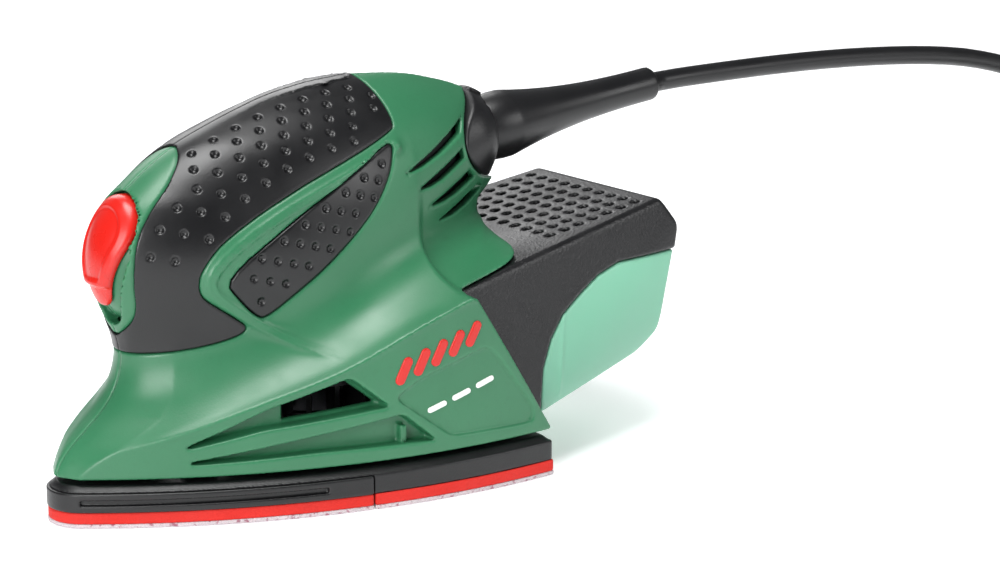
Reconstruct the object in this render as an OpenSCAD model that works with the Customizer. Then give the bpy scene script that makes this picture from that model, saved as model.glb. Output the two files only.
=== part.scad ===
// Electric delta sander with a dust box and a mains cord.
// Nose towards -X, cord towards +X, +Z up. The origin is the reference centre of the
// sanding face, which lies on the plane z = 0.

/* [Sanding plate] */
// Rear end of the sanding plate
plate_rear = 70.5; // [69:0.5:72]
// Radius of the two long sides in plan
side_radius = 197; // [194:0.5:200]
// Joint between the delta tip and the rear plate
split_x = 17.5; // [14:0.5:20]
// Thickness of the abrasive sheets
sheet_t = 1.2; // [0.8:0.1:1.4]
// Thickness of the hook pads
pad_t = 3.3; // [3:0.1:3.6]
// Top face of the black plate
plate_top = 12; // [11.5:0.1:12.4]

/* [Housing] */
// Lower edge of the housing skirt
skirt_z = 13.6; // [13.4:0.1:14]
// Wall of the two housing shells
wall = 3.2; // [2.8:0.1:3.4]
// Depth of the pockets that hold the rubber grips
grip_depth = 1.6; // [1.2:0.1:1.8]

/* [Motor] */
// Motor axis from the origin
motor_x = 18; // [16:0.5:20]
// Throw of the eccentric, half the orbit's diameter
throw = 0.7; // [0.5:0.1:1]
// Radius of the fan
fan_r = 27; // [25:0.5:27.5]
// Number of fan blades
fan_blades = 20; // [12:1:24]

/* [Dust box] */
// Tilt of the dust box's top in degrees
box_tilt = 9.8; // [9:0.1:10.5]
// Wall of the dust box
box_wall = 2; // [1.6:0.1:2.4]
// Pitch of the grille's holes
grille_pitch = 5.6; // [5.4:0.1:6]

/* [Cord] */
// Diameter of the mains cord
cord_d = 6.2; // [5.8:0.1:6.4]
// Centre of the coil in plan
coil_centre = [416, -30];
// Turns side by side in the coil
coil_columns = 4; // [3:1:4]
// Layers of the coil
coil_layers = 2; // [2:1:2]

/* [Hidden] */
side_cx = 56;
side_cy = 146;
tip_r = 11;
green = [0.28, 0.56, 0.40];
mint = [0.60, 0.84, 0.74];
black = [0.12, 0.12, 0.13];
dark = [0.25, 0.25, 0.27];
red = [0.90, 0.18, 0.10];
steel = [0.72, 0.73, 0.75];
copper = [0.75, 0.42, 0.22];
brass = [0.80, 0.66, 0.32];

// Side view of the housing: front edge, rear edge and half width of the grip by height,
// and the height of the side crease along the length.
front_edge = [[12, -69.6], [17, -67.6], [21, -64.2], [25, -59.6], [30, -53.8], [35, -49.7],
    [41, -47.4], [47, -46.9], [53, -48.4], [60, -51.6], [68, -54.6], [76, -55.6], [82, -54],
    [88, -49.2], [93, -42.9], [98, -35.9], [103, -26.9], [107, -16.5], [110.5, -6],
    [113.5, 5], [115.5, 18], [116.6, 32]];
rear_edge = [[12, 76], [58, 77], [62, 77], [66, 76.5], [70, 78], [74, 81.5], [78, 85.5],
    [84, 89.5], [88, 90.5], [93, 90], [99, 86.6], [105, 81], [109, 73], [112, 64], [115, 51],
    [116.6, 33]];
grip_half = [[12, 33], [40, 31], [47, 31], [55, 32], [66, 34], [75, 34.6], [83, 33.8],
    [90, 32], [95, 30], [100, 27], [104, 23.6], [108, 19.2], [111, 15], [113.5, 10.5],
    [115.5, 5.5], [116.6, 1]];
crease = [[-72, 17], [-46, 25], [-20, 34.3], [0, 41], [24, 51.5], [42, 58], [80, 71]];
levels = [skirt_z, 19, 25, 31, 37, 43, 49, 54, 57.4, 58.6, 61, 64, 68, 73, 79, 85, 91, 97,
    102, 106, 109.5, 112.5, 115, 116.5];
samples = 17;

// Outlines in the side view.
grip_outline = [[-27.5, 107], [-29.7, 100.5], [-34.5, 95.7], [-41, 89.7], [-46.6, 83],
    [-48.9, 76.1], [-48.8, 69.4], [-47.4, 60.6], [-47.3, 56.1], [-50, 50], [-49, 46],
    [-34.2, 47.7], [-26, 49.2], [-19.5, 51.2], [-18.3, 53.4], [-20.5, 55.4], [-26.2, 59.5],
    [-31.4, 63.2], [-32.6, 66.9], [-32, 70.6], [-28, 76.2], [-22.7, 80.2], [-13.9, 85.1],
    [-4.7, 89.1], [5.2, 93], [34.2, 102.2], [36.2, 103.8], [35.9, 109.6], [34.7, 114.3],
    [32, 120], [-20, 120]];
leaf_outline = [[-26.2, 68], [-6.2, 81.6], [14.8, 92.2], [30.1, 99.4], [32.9, 99.4],
    [32.9, 97], [29.6, 90.2], [23.2, 82.1], [14.7, 74.9], [5.8, 68], [-3.4, 61.8],
    [-13.3, 54.9], [-16.1, 56.1], [-20.8, 61]];
vents = [[[35, 89.9], [66.2, 101.8], [63.2, 97.4], [51.6, 93.4]],
    [[40.1, 84.6], [63, 93.4], [64, 90.2], [52.2, 86]],
    [[45.5, 78.9], [66, 86.2], [69.5, 83.6], [59.2, 80.4]],
    [[50.4, 73.6], [72.5, 80.8], [76.5, 78.9], [65.3, 75.3]]];
upper_window = [[-40.8, 22.5], [-20, 32.1], [2.8, 39.2], [14.7, 29.3], [-20.9, 26.1], [-39.6, 21.9]];
lower_window = [[-39.9, 18.1], [-11.7, 22.6], [18.4, 26.7], [29, 17.5], [-6.3, 18.2], [-39, 17.2]];
name_recess = [[16.5, 32], [23.4, 36.1], [44.9, 42.7], [47.8, 41.3], [63, 21], [62.2, 17.3],
    [33.7, 17.9], [17.2, 30.4]];
cap_outline = [[76, 120], [76, 109.5], [73.4, 106.8], [70.1, 103.6], [66.7, 100.3], [64.9, 96.4],
    [64.4, 92.4], [66.7, 87.7], [73.2, 82.8], [84, 79.5], [97, 77.5], [97, 120]];

// Dust bay: the slanted rear edge of the panels and the tilted top of the box.
bay_low = [70.2, skirt_z];
bay_high = [42.4, 57.6];
box_top_z = 58;
box_top_x = 45;
slant = atan2(bay_high[1] - bay_low[1], bay_high[0] - bay_low[0]);
box_corners = [[48.1, 36.2, 55.1], [70.9, 42.3, 20], [127, 27.8, 68.6], [131.8, 28.8, 62.2],
    [123.5, 30.5, 32.6], [116.6, 31, 28.2]];
box_round = 3;
port = bay_low + (bay_high - bay_low) * 0.5;
frame_curve = [[69.6, 18], [69.8, 21], [72.1, 30], [76.7, 37.9], [82.7, 44.2], [90.4, 48.8],
    [98.6, 53.1], [111.8, 56.7], [130.5, 61], [137, 62.4]];

// Switch track: a circle in the side view that follows the front of the grip.
track = [-32.2, 71.7];
track_r = 23.3;
switch_travel = 10;
button_top = 81;
button_low = 65.5;
button_r = [10.2, 5.2];

// Heights of the parts on the motor axis.
eccentric_z = [14, 21];
weight_z = [21.8, 29.4];
fan_z = [22.4, 33.6];
lower_bearing_z = [40, 47];
core_z = [55, 81];
commutator_z = [87.5, 97.5];
upper_bearing_z = [101, 107];
stator_r = 24;
leg_places = [[-30, -12], [-30, 12], [44, -34], [44, 34]];
bracket_holes = [for (a = [50, 130, 230, 310]) [motor_x + 33 * cos(a), 33 * sin(a)]];
boss_places = [[-42, 38], [-27, 96], [46, 103], [52, 68], [-14, 47]];

// Cord: from the end of the sleeve to the floor and the coil, hand-chosen points.
cord_r = cord_d / 2;
sleeve_tilt = 5.5;
sleeve_start = [84, 0, 94.5];
sleeve_end = [149, 0, 100.8];
clamp_z = [88.3, 96.5];
coil_pitch = cord_d + 0.1;
coil_floor = 0.8;
coil_inner = 28.5;
coil_outer = coil_inner + (coil_columns - 1) * coil_pitch;
cord_route = [[149, 0, 100.8], [160, 0, 101.1], [175, 0, 101.1], [195, 0, 100.9],
    [215, 0, 100.4], [235, 0, 99.5], [255, 0, 98.1], [273, 0, 96.3], [290, 0, 93.8],
    [305, 0, 90.4], [313, 0, 87.8], [322.5, 0, 83.4], [331, 0.5, 77.6], [338, 1.5, 71.2],
    [351.5, 4.4, 56.4], [365, 8.1, 41.7], [378.5, 11.9, 27.2], [384, 13.4, 22], [391, 15, 17],
    [399, 16.4, 13.2], [407, 17.2, 11], [416, 17.4, 10.2]];
tail_turn = coil_outer + coil_pitch;
tail_route = concat(
    [for (i = [0 : 9]) let (a = 90 - 20 * i, u = min(i / 3, 1), s = u * u * (3 - 2 * u))
        [coil_centre[0] + (coil_outer + coil_pitch * s) * cos(a),
         coil_centre[1] + (coil_outer + coil_pitch * s) * sin(a), coil_floor + cord_r]],
    [[coil_centre[0] - 12, coil_centre[1] - tail_turn, 4.6],
     [coil_centre[0] - 26, coil_centre[1] - tail_turn, 6.6]]);
plug_at = [coil_centre[0] - 26, coil_centre[1] - tail_turn, 7.1];

// ---- curves ----

function slope(T, i) = let (a = max(i - 1, 0), b = min(i + 1, len(T) - 1))
    (T[b][1] - T[a][1]) / (T[b][0] - T[a][0]);
function segment(v, T, i = 0) = i >= len(T) - 2 || v < T[i + 1][0] ? i : segment(v, T, i + 1);
// Smooth curve through the pairs of T.
function smooth(v, T) = let (
    c = min(max(v, T[0][0]), T[len(T) - 1][0]), i = segment(c, T),
    h = T[i + 1][0] - T[i][0], t = (c - T[i][0]) / h)
    (2 * t ^ 3 - 3 * t ^ 2 + 1) * T[i][1] + (t ^ 3 - 2 * t ^ 2 + t) * h * slope(T, i)
    + (3 * t ^ 2 - 2 * t ^ 3) * T[i + 1][1] + (t ^ 3 - t ^ 2) * h * slope(T, i + 1);
function ease(t) = let (c = min(max(t, 0), 1)) c * c * (3 - 2 * c);

// Half width of the skirt in plan, and of the foot that stands on the dust box.
function skirt_half(x) = max(sqrt(max((side_radius - 1.4) ^ 2 - (x - side_cx) ^ 2, 0)) - side_cy, 0);
function foot_half(x) = let (u = min(max((x - 44) / 33, 0), 1))
    (39.7 - 0.2 * (x - 44)) * (1 - u ^ 6) ^ 0.4;
function box_top(x) = box_top_z + (x - box_top_x) * tan(box_tilt);

// Half width of the housing at (x, z), by its height field over the centre plane.
function body_half(x, z) = let (
    xf = smooth(z, front_edge), xr = smooth(z, rear_edge),
    t = min(max((x - xf) / (xr - xf), 0), 1),
    g = smooth(z, grip_half) * (1 - (1 - t) ^ 2) ^ 0.4545 * (1 - t ^ 3.2),
    nose = min(1, max(x - xf, 0) / min(9, 3 + 0.35 * (z - 13))) ^ 0.5,
    flare = g + (skirt_half(x) * nose - g) * exp(-max(z - smooth(x, crease), 0) / 7),
    foot = g + max(foot_half(x) - g, 0) * exp(-max(z - box_top(x) - 1, 0) / 4.5))
    flare + (foot - flare) * ease((x - 39) / 4) * ease((z - 57.2) / 1);

// Ring of points round the housing at one level, grown outwards by d.
function body_ring(z, d) = let (
    xf = smooth(z, front_edge), xr = smooth(z, rear_edge),
    lift = d * ease((z - 98) / 18), k = 1 + d / (smooth(z, grip_half) + 6),
    line = [for (i = [0 : samples]) let (t = (1 - cos(180 * i / samples)) / 2)
        [xf - d + t * (xr - xf + 2 * d), body_half(xf + t * (xr - xf), z) * k]],
    zz = z + lift - (z == skirt_z ? max(-d, 0) : 0))
    concat([for (p = line) [p[0], -p[1], zz]],
        [for (i = [samples - 1 : -1 : 1]) [line[i][0], line[i][1], zz]]);

// Closed surface through rings of equal length.
module skin(rings) {
    n = len(rings[0]);
    m = len(rings);
    polyhedron(
        [for (r = rings) for (p = r) p],
        concat(
            [for (k = [0 : m - 2]) for (i = [0 : n - 1]) let (a = k * n + i, b = k * n + (i + 1) % n)
                [a, a + n, b + n]],
            [for (k = [0 : m - 2]) for (i = [0 : n - 1]) let (a = k * n + i, b = k * n + (i + 1) % n)
                [a, b + n, b]],
            [[for (i = [0 : n - 1]) i]],
            [[for (i = [n - 1 : -1 : 0]) (m - 1) * n + i]]));
}

// The whole housing as a solid, grown outwards by d.
module body(d) {
    skin([for (z = levels) body_ring(z, d)]);
}

// Shape in the side view carried across the width, on both sides or on one.
module across(points, half = 60) {
    translate([0, half, 0]) rotate([90, 0, 0]) linear_extrude(2 * half) polygon(points);
}

module one_side(side) {
    intersection() {
        children();
        translate([-150, side > 0 ? 0.04 : -120.04, 0]) cube([300, 120, 140]);
    }
}

// Rounded bar between two points of the side view, from y = a to y = b.
module bar(p, q, r, a, b) {
    hull() for (c = [p, q]) translate([c[0], b, c[1]]) rotate([90, 0, 0]) cylinder(r = r, h = b - a, $fn = 16);
}

// Plan outline of the sanding plate, drawn inwards by d.
function plate_outline(d) = let (
    xc = side_cx - sqrt((side_radius - tip_r) ^ 2 - side_cy ^ 2),
    meet = atan2(side_cy, xc - side_cx),
    end = acos((plate_rear - d - side_cx) / (side_radius - d)),
    upper = concat(
        [for (i = [0 : 6]) let (a = 180 - (180 - meet) * i / 6)
            [xc + (tip_r - d) * cos(a), (tip_r - d) * sin(a)]],
        [for (i = [1 : 20]) let (a = meet + (end - meet) * i / 20)
            [side_cx + (side_radius - d) * cos(a), (side_radius - d) * sin(a) - side_cy]]))
    concat(upper, [for (i = [len(upper) - 1 : -1 : 1]) [upper[i][0], -upper[i][1]]]);

module plate(d, low, high) {
    translate([0, 0, low]) linear_extrude(high - low) polygon(plate_outline(d));
}

// Front or rear part of the plate, on either side of the curved joint.
module tip_side(low, high, gap = 0) {
    translate([split_x - 118 - gap, 0, low]) cylinder(r = 118, h = high - low, $fn = 180);
}

module ring(r1, r2, z) {
    translate([0, 0, z[0]]) difference() {
        cylinder(r = r2, h = z[1] - z[0], $fn = 72);
        translate([0, 0, -1]) cylinder(r = r1, h = z[1] - z[0] + 2, $fn = 72);
    }
}

module on_axis(x = motor_x) {
    translate([x, 0, 0]) children();
}

// ---- housing ----

// The room for the dust box, behind the slanted edge and below the tilted top, grown by g.
module bay(g = 0) {
    along = [cos(slant), sin(slant)];
    out = [-sin(slant), cos(slant)];
    low = bay_low - along * 25 + out * g;
    high = bay_high + out * g;
    across([low, high, [high[0] - 1, box_top(bay_high[0]) + g], [140, box_top(140) + g], [140, low[1]]]);
}

// Ring round the switch track, crowned across the width in n steps each way.
module switch_ring(inner, outer, half, n = 6, facets = 120) {
    translate([track[0], 0, track[1]]) rotate([-90, 0, 0]) rotate_extrude($fn = facets)
        polygon(concat(
            [for (i = [-n : n]) let (y = half * i / n) [track_r + outer - 0.045 * y * y, y]],
            [for (i = [n : -1 : -n]) let (y = half * i / n) [track_r + inner - 0.045 * y * y, y]]));
}

// Outline of the button seen from the front, grown by g and carried down by its travel.
module button_outline(g, down) {
    translate([-75, 0, 0]) rotate([90, 0, 90]) linear_extrude(45) hull() {
        translate([0, button_top]) circle(r = button_r[0] + g, $fn = 32);
        translate([0, button_top - down]) circle(r = button_r[0] + g, $fn = 32);
        translate([0, button_low - down]) circle(r = button_r[1] + g, $fn = 32);
    }
}

module track_room() {
    intersection() {
        switch_ring(-2.3, 9, 13, 3, 60);
        button_outline(0.6, 5);
    }
}

module shell_rib(z, h, r) {
    difference() {
        intersection() {
            difference() {
                body(-wall + 0.4);
                bay(wall - 0.4);
            }
            translate([motor_x - 36, -60, z]) cube([72, 120, h]);
        }
        translate([motor_x, 0, z - 1]) cylinder(r = r, h = h + 2, $fn = 40);
    }
}

module housing(side) {
    color(green) one_side(side) difference() {
        union() {
            difference() {
                difference() {
                    body(0);
                    bay(0);
                }
                difference() {
                    body(-wall);
                    bay(wall);
                }
            }
            intersection() {
                switch_ring(-4.8, -2.2, 14, 3, 60);
                button_outline(3, 7);
                body(-0.6);
            }
            shell_rib(34.9, 2.2, fan_r + 1.5);
            shell_rib(58, 2, stator_r + 0.15);
            shell_rib(76, 2, stator_r + 0.15);
            intersection() {
                body(-wall + 0.4);
                translate([motor_x - 16, -40, 99.6]) cube([32, 80, 8.4]);
            }
            intersection() {
                difference() {
                    body(-wall + 0.4);
                    bay(wall - 0.4);
                }
                union() {
                    for (p = boss_places) bar(p, [p[0], p[1] + 0.4], 4.2, -60, 60);
                    for (p = leg_places) translate([p[0], p[1], 36]) cylinder(r = 6.5, h = 4, $fn = 24);
                    for (p = leg_places) hull() {
                        translate([p[0], p[1], 38]) cylinder(r = 4, h = 2, $fn = 16);
                        translate([p[0] + (p[0] < 0 ? -14 : 6), p[1] * 1.5, 38]) cylinder(r = 4, h = 2, $fn = 16);
                    }
                }
            }
        }
        // pockets for the rubber, the name panel and the rear cap
        difference() {
            across(grip_outline);
            body(-grip_depth);
        }
        difference() {
            across(leaf_outline);
            body(-grip_depth);
        }
        difference() {
            across(name_recess);
            body(-0.8);
        }
        across(cap_outline);
        // windows and vents
        difference() {
            union() {
                across(upper_window);
                across(lower_window);
                for (v = vents) across(v);
            }
            translate([-80, -8, 0]) cube([160, 16, 120]);
            translate([-20, -30, 0]) cube([52, 60, 60]);
        }
        // switch track and the slot for the link
        track_room();
        translate([-62, -3.2, 64]) cube([16, 6.4, 16]);
        // seats on the motor axis
        on_axis() translate([0, 0, 99]) cylinder(r = 10.95, h = 8.2, $fn = 40);
        on_axis() cylinder(r = 9.6, h = 112, $fn = 40);
        intersection() {
            translate([motor_x, 0, 36.9]) cylinder(r = 36.2, h = 3, $fn = 48);
            translate([motor_x - 40, -40, 30]) cube([70.4, 80, 20]);
        }
        for (p = leg_places) translate([p[0] - throw, p[1], 30]) cylinder(r = 6.2, h = 6.4, $fn = 24);
        for (p = leg_places) translate([p[0] - throw, p[1], 30]) cylinder(r = 3.7, h = 9.2, $fn = 24);
        for (p = bracket_holes) translate([p[0], p[1], 30]) cylinder(r = 1.5, h = 9, $fn = 16);
        for (p = boss_places) translate([p[0], 21, p[1]]) rotate([90, 0, 0]) cylinder(r = 1.7, h = 40, $fn = 16);
        for (p = boss_places) translate([p[0], 60, p[1]]) rotate([90, 0, 0]) cylinder(r = 3.3, h = 60 - boss_head(p), $fn = 16);
        // dust port through the sloping rear wall
        dust_port(9, -8, 6);
    }
}

function boss_head(p) = max(body_half(p[0], p[1]) - 9, 3.5);

// Cylinder square to the sloping rear wall, r in radius, from depth a to depth b.
module dust_port(r, a, b) {
    translate([port[0], 0, port[1]]) rotate([0, 180 - slant, 0]) translate([0, 0, a]) cylinder(r = r, h = b - a, $fn = 60);
}

module housing_left() {
    housing(-1);
}

module housing_right() {
    housing(1);
}

module housing_screws() {
    color(steel) for (p = boss_places) translate([p[0], boss_head(p) + 0.02, p[1]]) rotate([-90, 0, 0]) {
        cylinder(r = 3, h = 2.2, $fn = 32);
        translate([0, 0, -min(2 * boss_head(p), 20)]) cylinder(r = 1.65, h = min(2 * boss_head(p), 20), $fn = 24);
    }
}

// Rubber skins in the pockets of the shells.
module grip(side) {
    color(black) one_side(side) difference() {
        intersection() {
            body(0.5);
            across(grip_outline);
        }
        body(-grip_depth);
        track_room();
        for (i = [0 : 8]) bar([-40 + 8 * i, 60 + 5.5 * i], [-40 + 8 * i, 60.1 + 5.5 * i], 0.5, side > 0 ? 30 : -60, side > 0 ? 60 : -30);
    }
}

module grip_left() {
    grip(-1);
}

module grip_right() {
    grip(1);
}

module side_grip(side) {
    color(black) one_side(side) difference() {
        intersection() {
            body(0.4);
            across(leaf_outline);
        }
        body(-grip_depth);
        for (i = [0 : 8]) bar([-12 + 4 * i, 62 + 3.4 * i], [-12 + 4 * i, 62.1 + 3.4 * i], 0.6, side > 0 ? 27 : -60, side > 0 ? 60 : -27);
    }
}

module side_grip_left() {
    side_grip(-1);
}

module side_grip_right() {
    side_grip(1);
}

module rear_cap() {
    color(dark) difference() {
        intersection() {
            body(0.3);
            across(cap_outline);
        }
        intersection() {
            body(-2.8);
            translate([40, -40, 70]) cube([60, 80, 60]);
        }
        along_sleeve() translate([0, 0, -14]) cylinder(r = 8.6, h = 30, $fn = 60);
        along_sleeve() translate([0, 0, sleeve_step - 0.3]) cylinder(r = 10.7, h = 20, $fn = 60);
        for (i = [0 : 4]) for (s = [-1, 1]) bar([66 + i, 87 + 4 * i], [66 + i, 88 + 4 * i], 0.5, s > 0 ? 17 : -60, s > 0 ? 60 : -17);
    }
}

// Generic side marks: slanted bars above the recessed panel and three dashes in it.
module side_bars() {
    color(red) difference() {
        intersection() {
            body(0.5);
            for (i = [0 : 4]) bar([17.2 + 5.6 * i, 36.8 + 2.05 * i], [19.6 + 5.6 * i, 41.9 + 1.9 * i], 1.5, -60, 60);
        }
        body(0);
    }
}

module side_strips() {
    color("white") difference() {
        intersection() {
            body(-0.3);
            for (i = [0 : 2]) bar([27 + 8 * i, 26.5 + 2.5 * i], [31.5 + 8 * i, 27.9 + 2.5 * i], 0.9, -60, 60);
        }
        body(-0.8);
    }
}

// ---- switch ----

module switch_button() {
    color(red) intersection() {
        switch_ring(-1.6, 0.9, 12.5);
        button_outline(0, 0);
    }
}

module switch_link() {
    color(black) difference() {
        intersection() {
            translate([track[0], 2.4, track[1]]) rotate([90, 0, 0]) cylinder(r = track_r - 1.9, h = 4.8, $fn = 96);
            translate([-60, -3, 71]) cube([20, 6, 5]);
        }
        translate([track[0], 4, track[1]]) rotate([90, 0, 0]) cylinder(r = 9.6, h = 8, $fn = 96);
    }
}

module switch_module() {
    color(dark) {
        translate([-40, -7, 64]) cube([18, 14, 15]);
        translate([-28, -5, 61]) cube([2, 3, 3]);
        translate([-28, 2, 61]) cube([2, 3, 3]);
    }
}

module capacitor() {
    color([0.85, 0.75, 0.25]) translate([-19.5, -5, 84]) cube([17, 10, 9]);
}

module terminal_block() {
    color("white") difference() {
        translate([42, -8, 86.5]) cube([13, 16, 8]);
        for (y = [-4, 4]) translate([48.5, y, 90]) cylinder(r = 1.6, h = 6, $fn = 24);
        for (y = [-4, 4]) translate([40, y, 89]) rotate([0, 90, 0]) cylinder(r = 1.2, h = 17, $fn = 24);
    }
}

module cord_clamp() {
    color(dark) difference() {
        translate([59, -7, clamp_z[0]]) cube([6, 14, clamp_z[1] - clamp_z[0]]);
        along_sleeve() translate([0, 0, -34]) cylinder(r = cord_r + 0.1, h = 20, $fn = 40);
        for (y = [-5.2, 5.2]) translate([62, y, clamp_z[0] - 2]) cylinder(r = 1.1, h = 14, $fn = 24);
    }
}

// Small screws of one size: four in the bearing bracket and two in the cord clamp.
module small_screws() {
    color(steel) {
        for (p = bracket_holes) translate([p[0], p[1], 39.62]) {
            cylinder(r = 2.6, h = 1.8, $fn = 32);
            translate([0, 0, -5]) cylinder(r = 1.3, h = 5, $fn = 24);
        }
        for (y = [-5.2, 5.2]) translate([62, y, clamp_z[1] + 0.02]) {
            cylinder(r = 1.7, h = 1.2, $fn = 24);
            translate([0, 0, -7]) cylinder(r = 1, h = 7, $fn = 24);
        }
    }
}

// ---- cord ----

module along_sleeve() {
    translate(sleeve_start) rotate([0, 90 - sleeve_tilt, 0]) children();
}

sleeve_len = norm(sleeve_end - sleeve_start);
sleeve_step = 1.2;
function sleeve_radius(t) = min(10.3, 5.2 + 6.1 * (1 - t) ^ 2.4);

module cord_sleeve() {
    color(black) along_sleeve() difference() {
        rotate_extrude($fn = 72) polygon(concat([[0, -12], [7.4, -12], [8.4, -9], [8.4, sleeve_step]],
            [for (i = [0 : 14]) let (t = i / 14) [sleeve_radius(t), sleeve_step + (sleeve_len - sleeve_step - 0.8) * t]],
            [[4.6, sleeve_len], [0, sleeve_len]]));
        translate([0, 0, -14]) cylinder(r = cord_r + 0.15, h = sleeve_len + 20, $fn = 48);
    }
}

module inner_cord() {
    color(black) along_sleeve() translate([0, 0, -27]) cylinder(r = cord_r, h = 27 + sleeve_len - 0.1, $fn = 48);
}

function catmull(P, i, t) = let (a = P[max(i - 1, 0)], b = P[i], c = P[i + 1], d = P[min(i + 2, len(P) - 1)])
    0.5 * (2 * b + (c - a) * t + (2 * a - 5 * b + 4 * c - d) * t ^ 2 + (3 * b - a - 3 * c + d) * t ^ 3);

// Tube of eight sides along a route.
module tube(route, r, steps) {
    line = concat([for (i = [0 : len(route) - 2]) for (k = [0 : steps - 1]) catmull(route, i, k / steps)],
        [route[len(route) - 1]]);
    n = len(line);
    skin([for (i = [0 : n - 1]) let (
        d = line[min(i + 1, n - 1)] - line[max(i - 1, 0)], f = d / norm(d),
        s = cross(f, abs(f[2]) > 0.9 ? [1, 0, 0] : [0, 0, 1]), u = s / norm(s), v = cross(u, f))
        [for (k = [0 : 7]) line[i] + r * (cos(45 * k + 22.5) * u + sin(45 * k + 22.5) * v)]]);
}

module cord() {
    color(black) tube(cord_route, cord_r, 1);
}

module cord_tail() {
    color(black) tube(tail_route, cord_r, 1);
}

module coil_section(g = 0) {
    translate([coil_inner - cord_r - g, coil_floor - g])
        square([(coil_columns - 1) * coil_pitch + cord_d + 2 * g, (coil_layers - 1) * coil_pitch + cord_d + 2 * g]);
}

module cord_coil() {
    color(black) translate(coil_centre) rotate_extrude($fn = 120) coil_section();
}

module coil_tie() {
    color(dark) translate(coil_centre) rotate([0, 0, 196]) rotate_extrude(angle = 12, $fn = 120) difference() {
        coil_section(0.8);
        coil_section(0.02);
    }
}

module plug_body() {
    color(black) translate(plug_at) {
        hull() for (s = [-1, 1]) for (x = [-34, -14]) translate([x, s * (x < -20 ? 15 : 11), 0])
            translate([0, 0, -6.9]) cylinder(r = 2.5, h = 13.8, $fn = 24);
        rotate([0, -90, 0]) cylinder(r1 = 4.4, r2 = 6.6, h = 15, $fn = 48);
    }
}

module plug_pins() {
    color(brass) translate(plug_at) for (s = [-1, 1]) translate([-36.5, s * 9.3, 0]) rotate([0, -90, 0]) {
        cylinder(r = 2, h = 18, $fn = 40);
        translate([0, 0, 18]) cylinder(r1 = 2, r2 = 1.2, h = 1, $fn = 40);
    }
}

// ---- motor ----

module motor_shaft() {
    color(steel) {
        on_axis() translate([0, 0, weight_z[0]]) cylinder(r = 4, h = upper_bearing_z[0] - weight_z[0], $fn = 72);
        on_axis() translate([0, 0, upper_bearing_z[0]]) cylinder(r = 3.5, h = 7.6, $fn = 72);
        on_axis(motor_x + throw) translate([0, 0, eccentric_z[0] - 0.2]) cylinder(r = 4, h = 8, $fn = 72);
        on_axis(motor_x + throw) translate([0, 0, 12.6]) cylinder(r = 3.1, h = 1.4, $fn = 72);
    }
}

module circlip() {
    color(steel) on_axis(motor_x + throw) difference() {
        ring(3.12, 5.2, [12.9, 13.7]);
        translate([-8, -1.4, 12]) cube([6, 2.8, 3]);
    }
}

module bearing_rings(r, z, x, part) {
    on_axis(x) {
        if (part == "inner") ring(r[0], r[1], z);
        if (part == "outer") {
            ring(r[2], r[3], z);
            for (i = [0 : 7]) rotate(i * 45) translate([(r[1] + r[2]) / 2, 0, (z[0] + z[1]) / 2])
                sphere(r = (r[2] - r[1]) / 2 - 0.06, $fn = 24);
        }
    }
}

big_bearing = [4, 6.2, 9, 11];
small_bearing = [3.5, 5.2, 7.6, 9.5];

module eccentric_bearing_outer() {
    color(steel) bearing_rings(big_bearing, eccentric_z, motor_x + throw, "outer");
}

module eccentric_bearing_inner() {
    color(steel) bearing_rings(big_bearing, eccentric_z, motor_x + throw, "inner");
}

module lower_bearing_outer() {
    color(steel) bearing_rings(big_bearing, lower_bearing_z, motor_x, "outer");
}

module lower_bearing_inner() {
    color(steel) bearing_rings(big_bearing, lower_bearing_z, motor_x, "inner");
}

module upper_bearing_outer() {
    color(steel) bearing_rings(small_bearing, upper_bearing_z, motor_x, "outer");
}

module upper_bearing_inner() {
    color(steel) bearing_rings(small_bearing, upper_bearing_z, motor_x, "inner");
}

module bearing_bush() {
    color(black) on_axis() ring(9.5, 10.9, [100.4, 107]);
}

module bearing_bracket() {
    color([0.7, 0.7, 0.68]) on_axis() difference() {
        union() {
            intersection() {
                translate([0, 0, 37.2]) cylinder(r = 36, h = 2.4, $fn = 90);
                translate([-37, -40, 37]) cube([67, 80, 4]);
            }
            translate([0, 0, 37.2]) cylinder(r = 14, h = 9.8, $fn = 72);
        }
        translate([0, 0, 40]) cylinder(r = 11, h = 10, $fn = 72);
        translate([0, 0, 36]) cylinder(r = 8.2, h = 10, $fn = 72);
        for (p = bracket_holes) translate([p[0] - motor_x, p[1], 36]) cylinder(r = 1.35, h = 6, $fn = 24);
        for (a = [0, 90, 270]) rotate(a + 45) translate([22, 0, 36]) cylinder(r = 5, h = 6, $fn = 36);
    }
}

module armature_core() {
    color([0.55, 0.55, 0.57]) on_axis() difference() {
        ring(4, 14.4, core_z);
        for (i = [0 : 11]) rotate(i * 30) translate([10.4, -0.8, core_z[0] - 1]) cube([6, 1.6, core_z[1] - core_z[0] + 2]);
    }
}

module armature_windings() {
    color(copper) on_axis() {
        rotate_extrude($fn = 72) polygon([[4.02, 48.6], [9.5, 48.6], [12.6, 50.6], [13, 54.98], [4.02, 54.98]]);
        rotate_extrude($fn = 72) polygon([[4.02, 81.02], [13, 81.02], [12.6, 84.4], [9.5, 86.6], [4.02, 86.6]]);
    }
}

module commutator() {
    color(copper) on_axis() difference() {
        ring(4, 8, commutator_z);
        for (i = [0 : 11]) rotate(i * 30) translate([7.2, -0.25, commutator_z[0] + 1.5]) cube([2, 0.5, 10]);
    }
}

module stator_core() {
    color([0.5, 0.5, 0.52]) on_axis() difference() {
        intersection() {
            translate([0, 0, core_z[0] - 1]) cylinder(r = stator_r, h = core_z[1] - core_z[0] + 2, $fn = 90);
            translate([-30, -20.6, 40]) cube([50.3, 41.2, 60]);
        }
        translate([0, 0, 40]) cylinder(r = 15.2, h = 60, $fn = 90);
        for (s = [0, 180]) rotate(s) translate([13, -11, 40]) cube([6.2, 22, 60]);
    }
}

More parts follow.
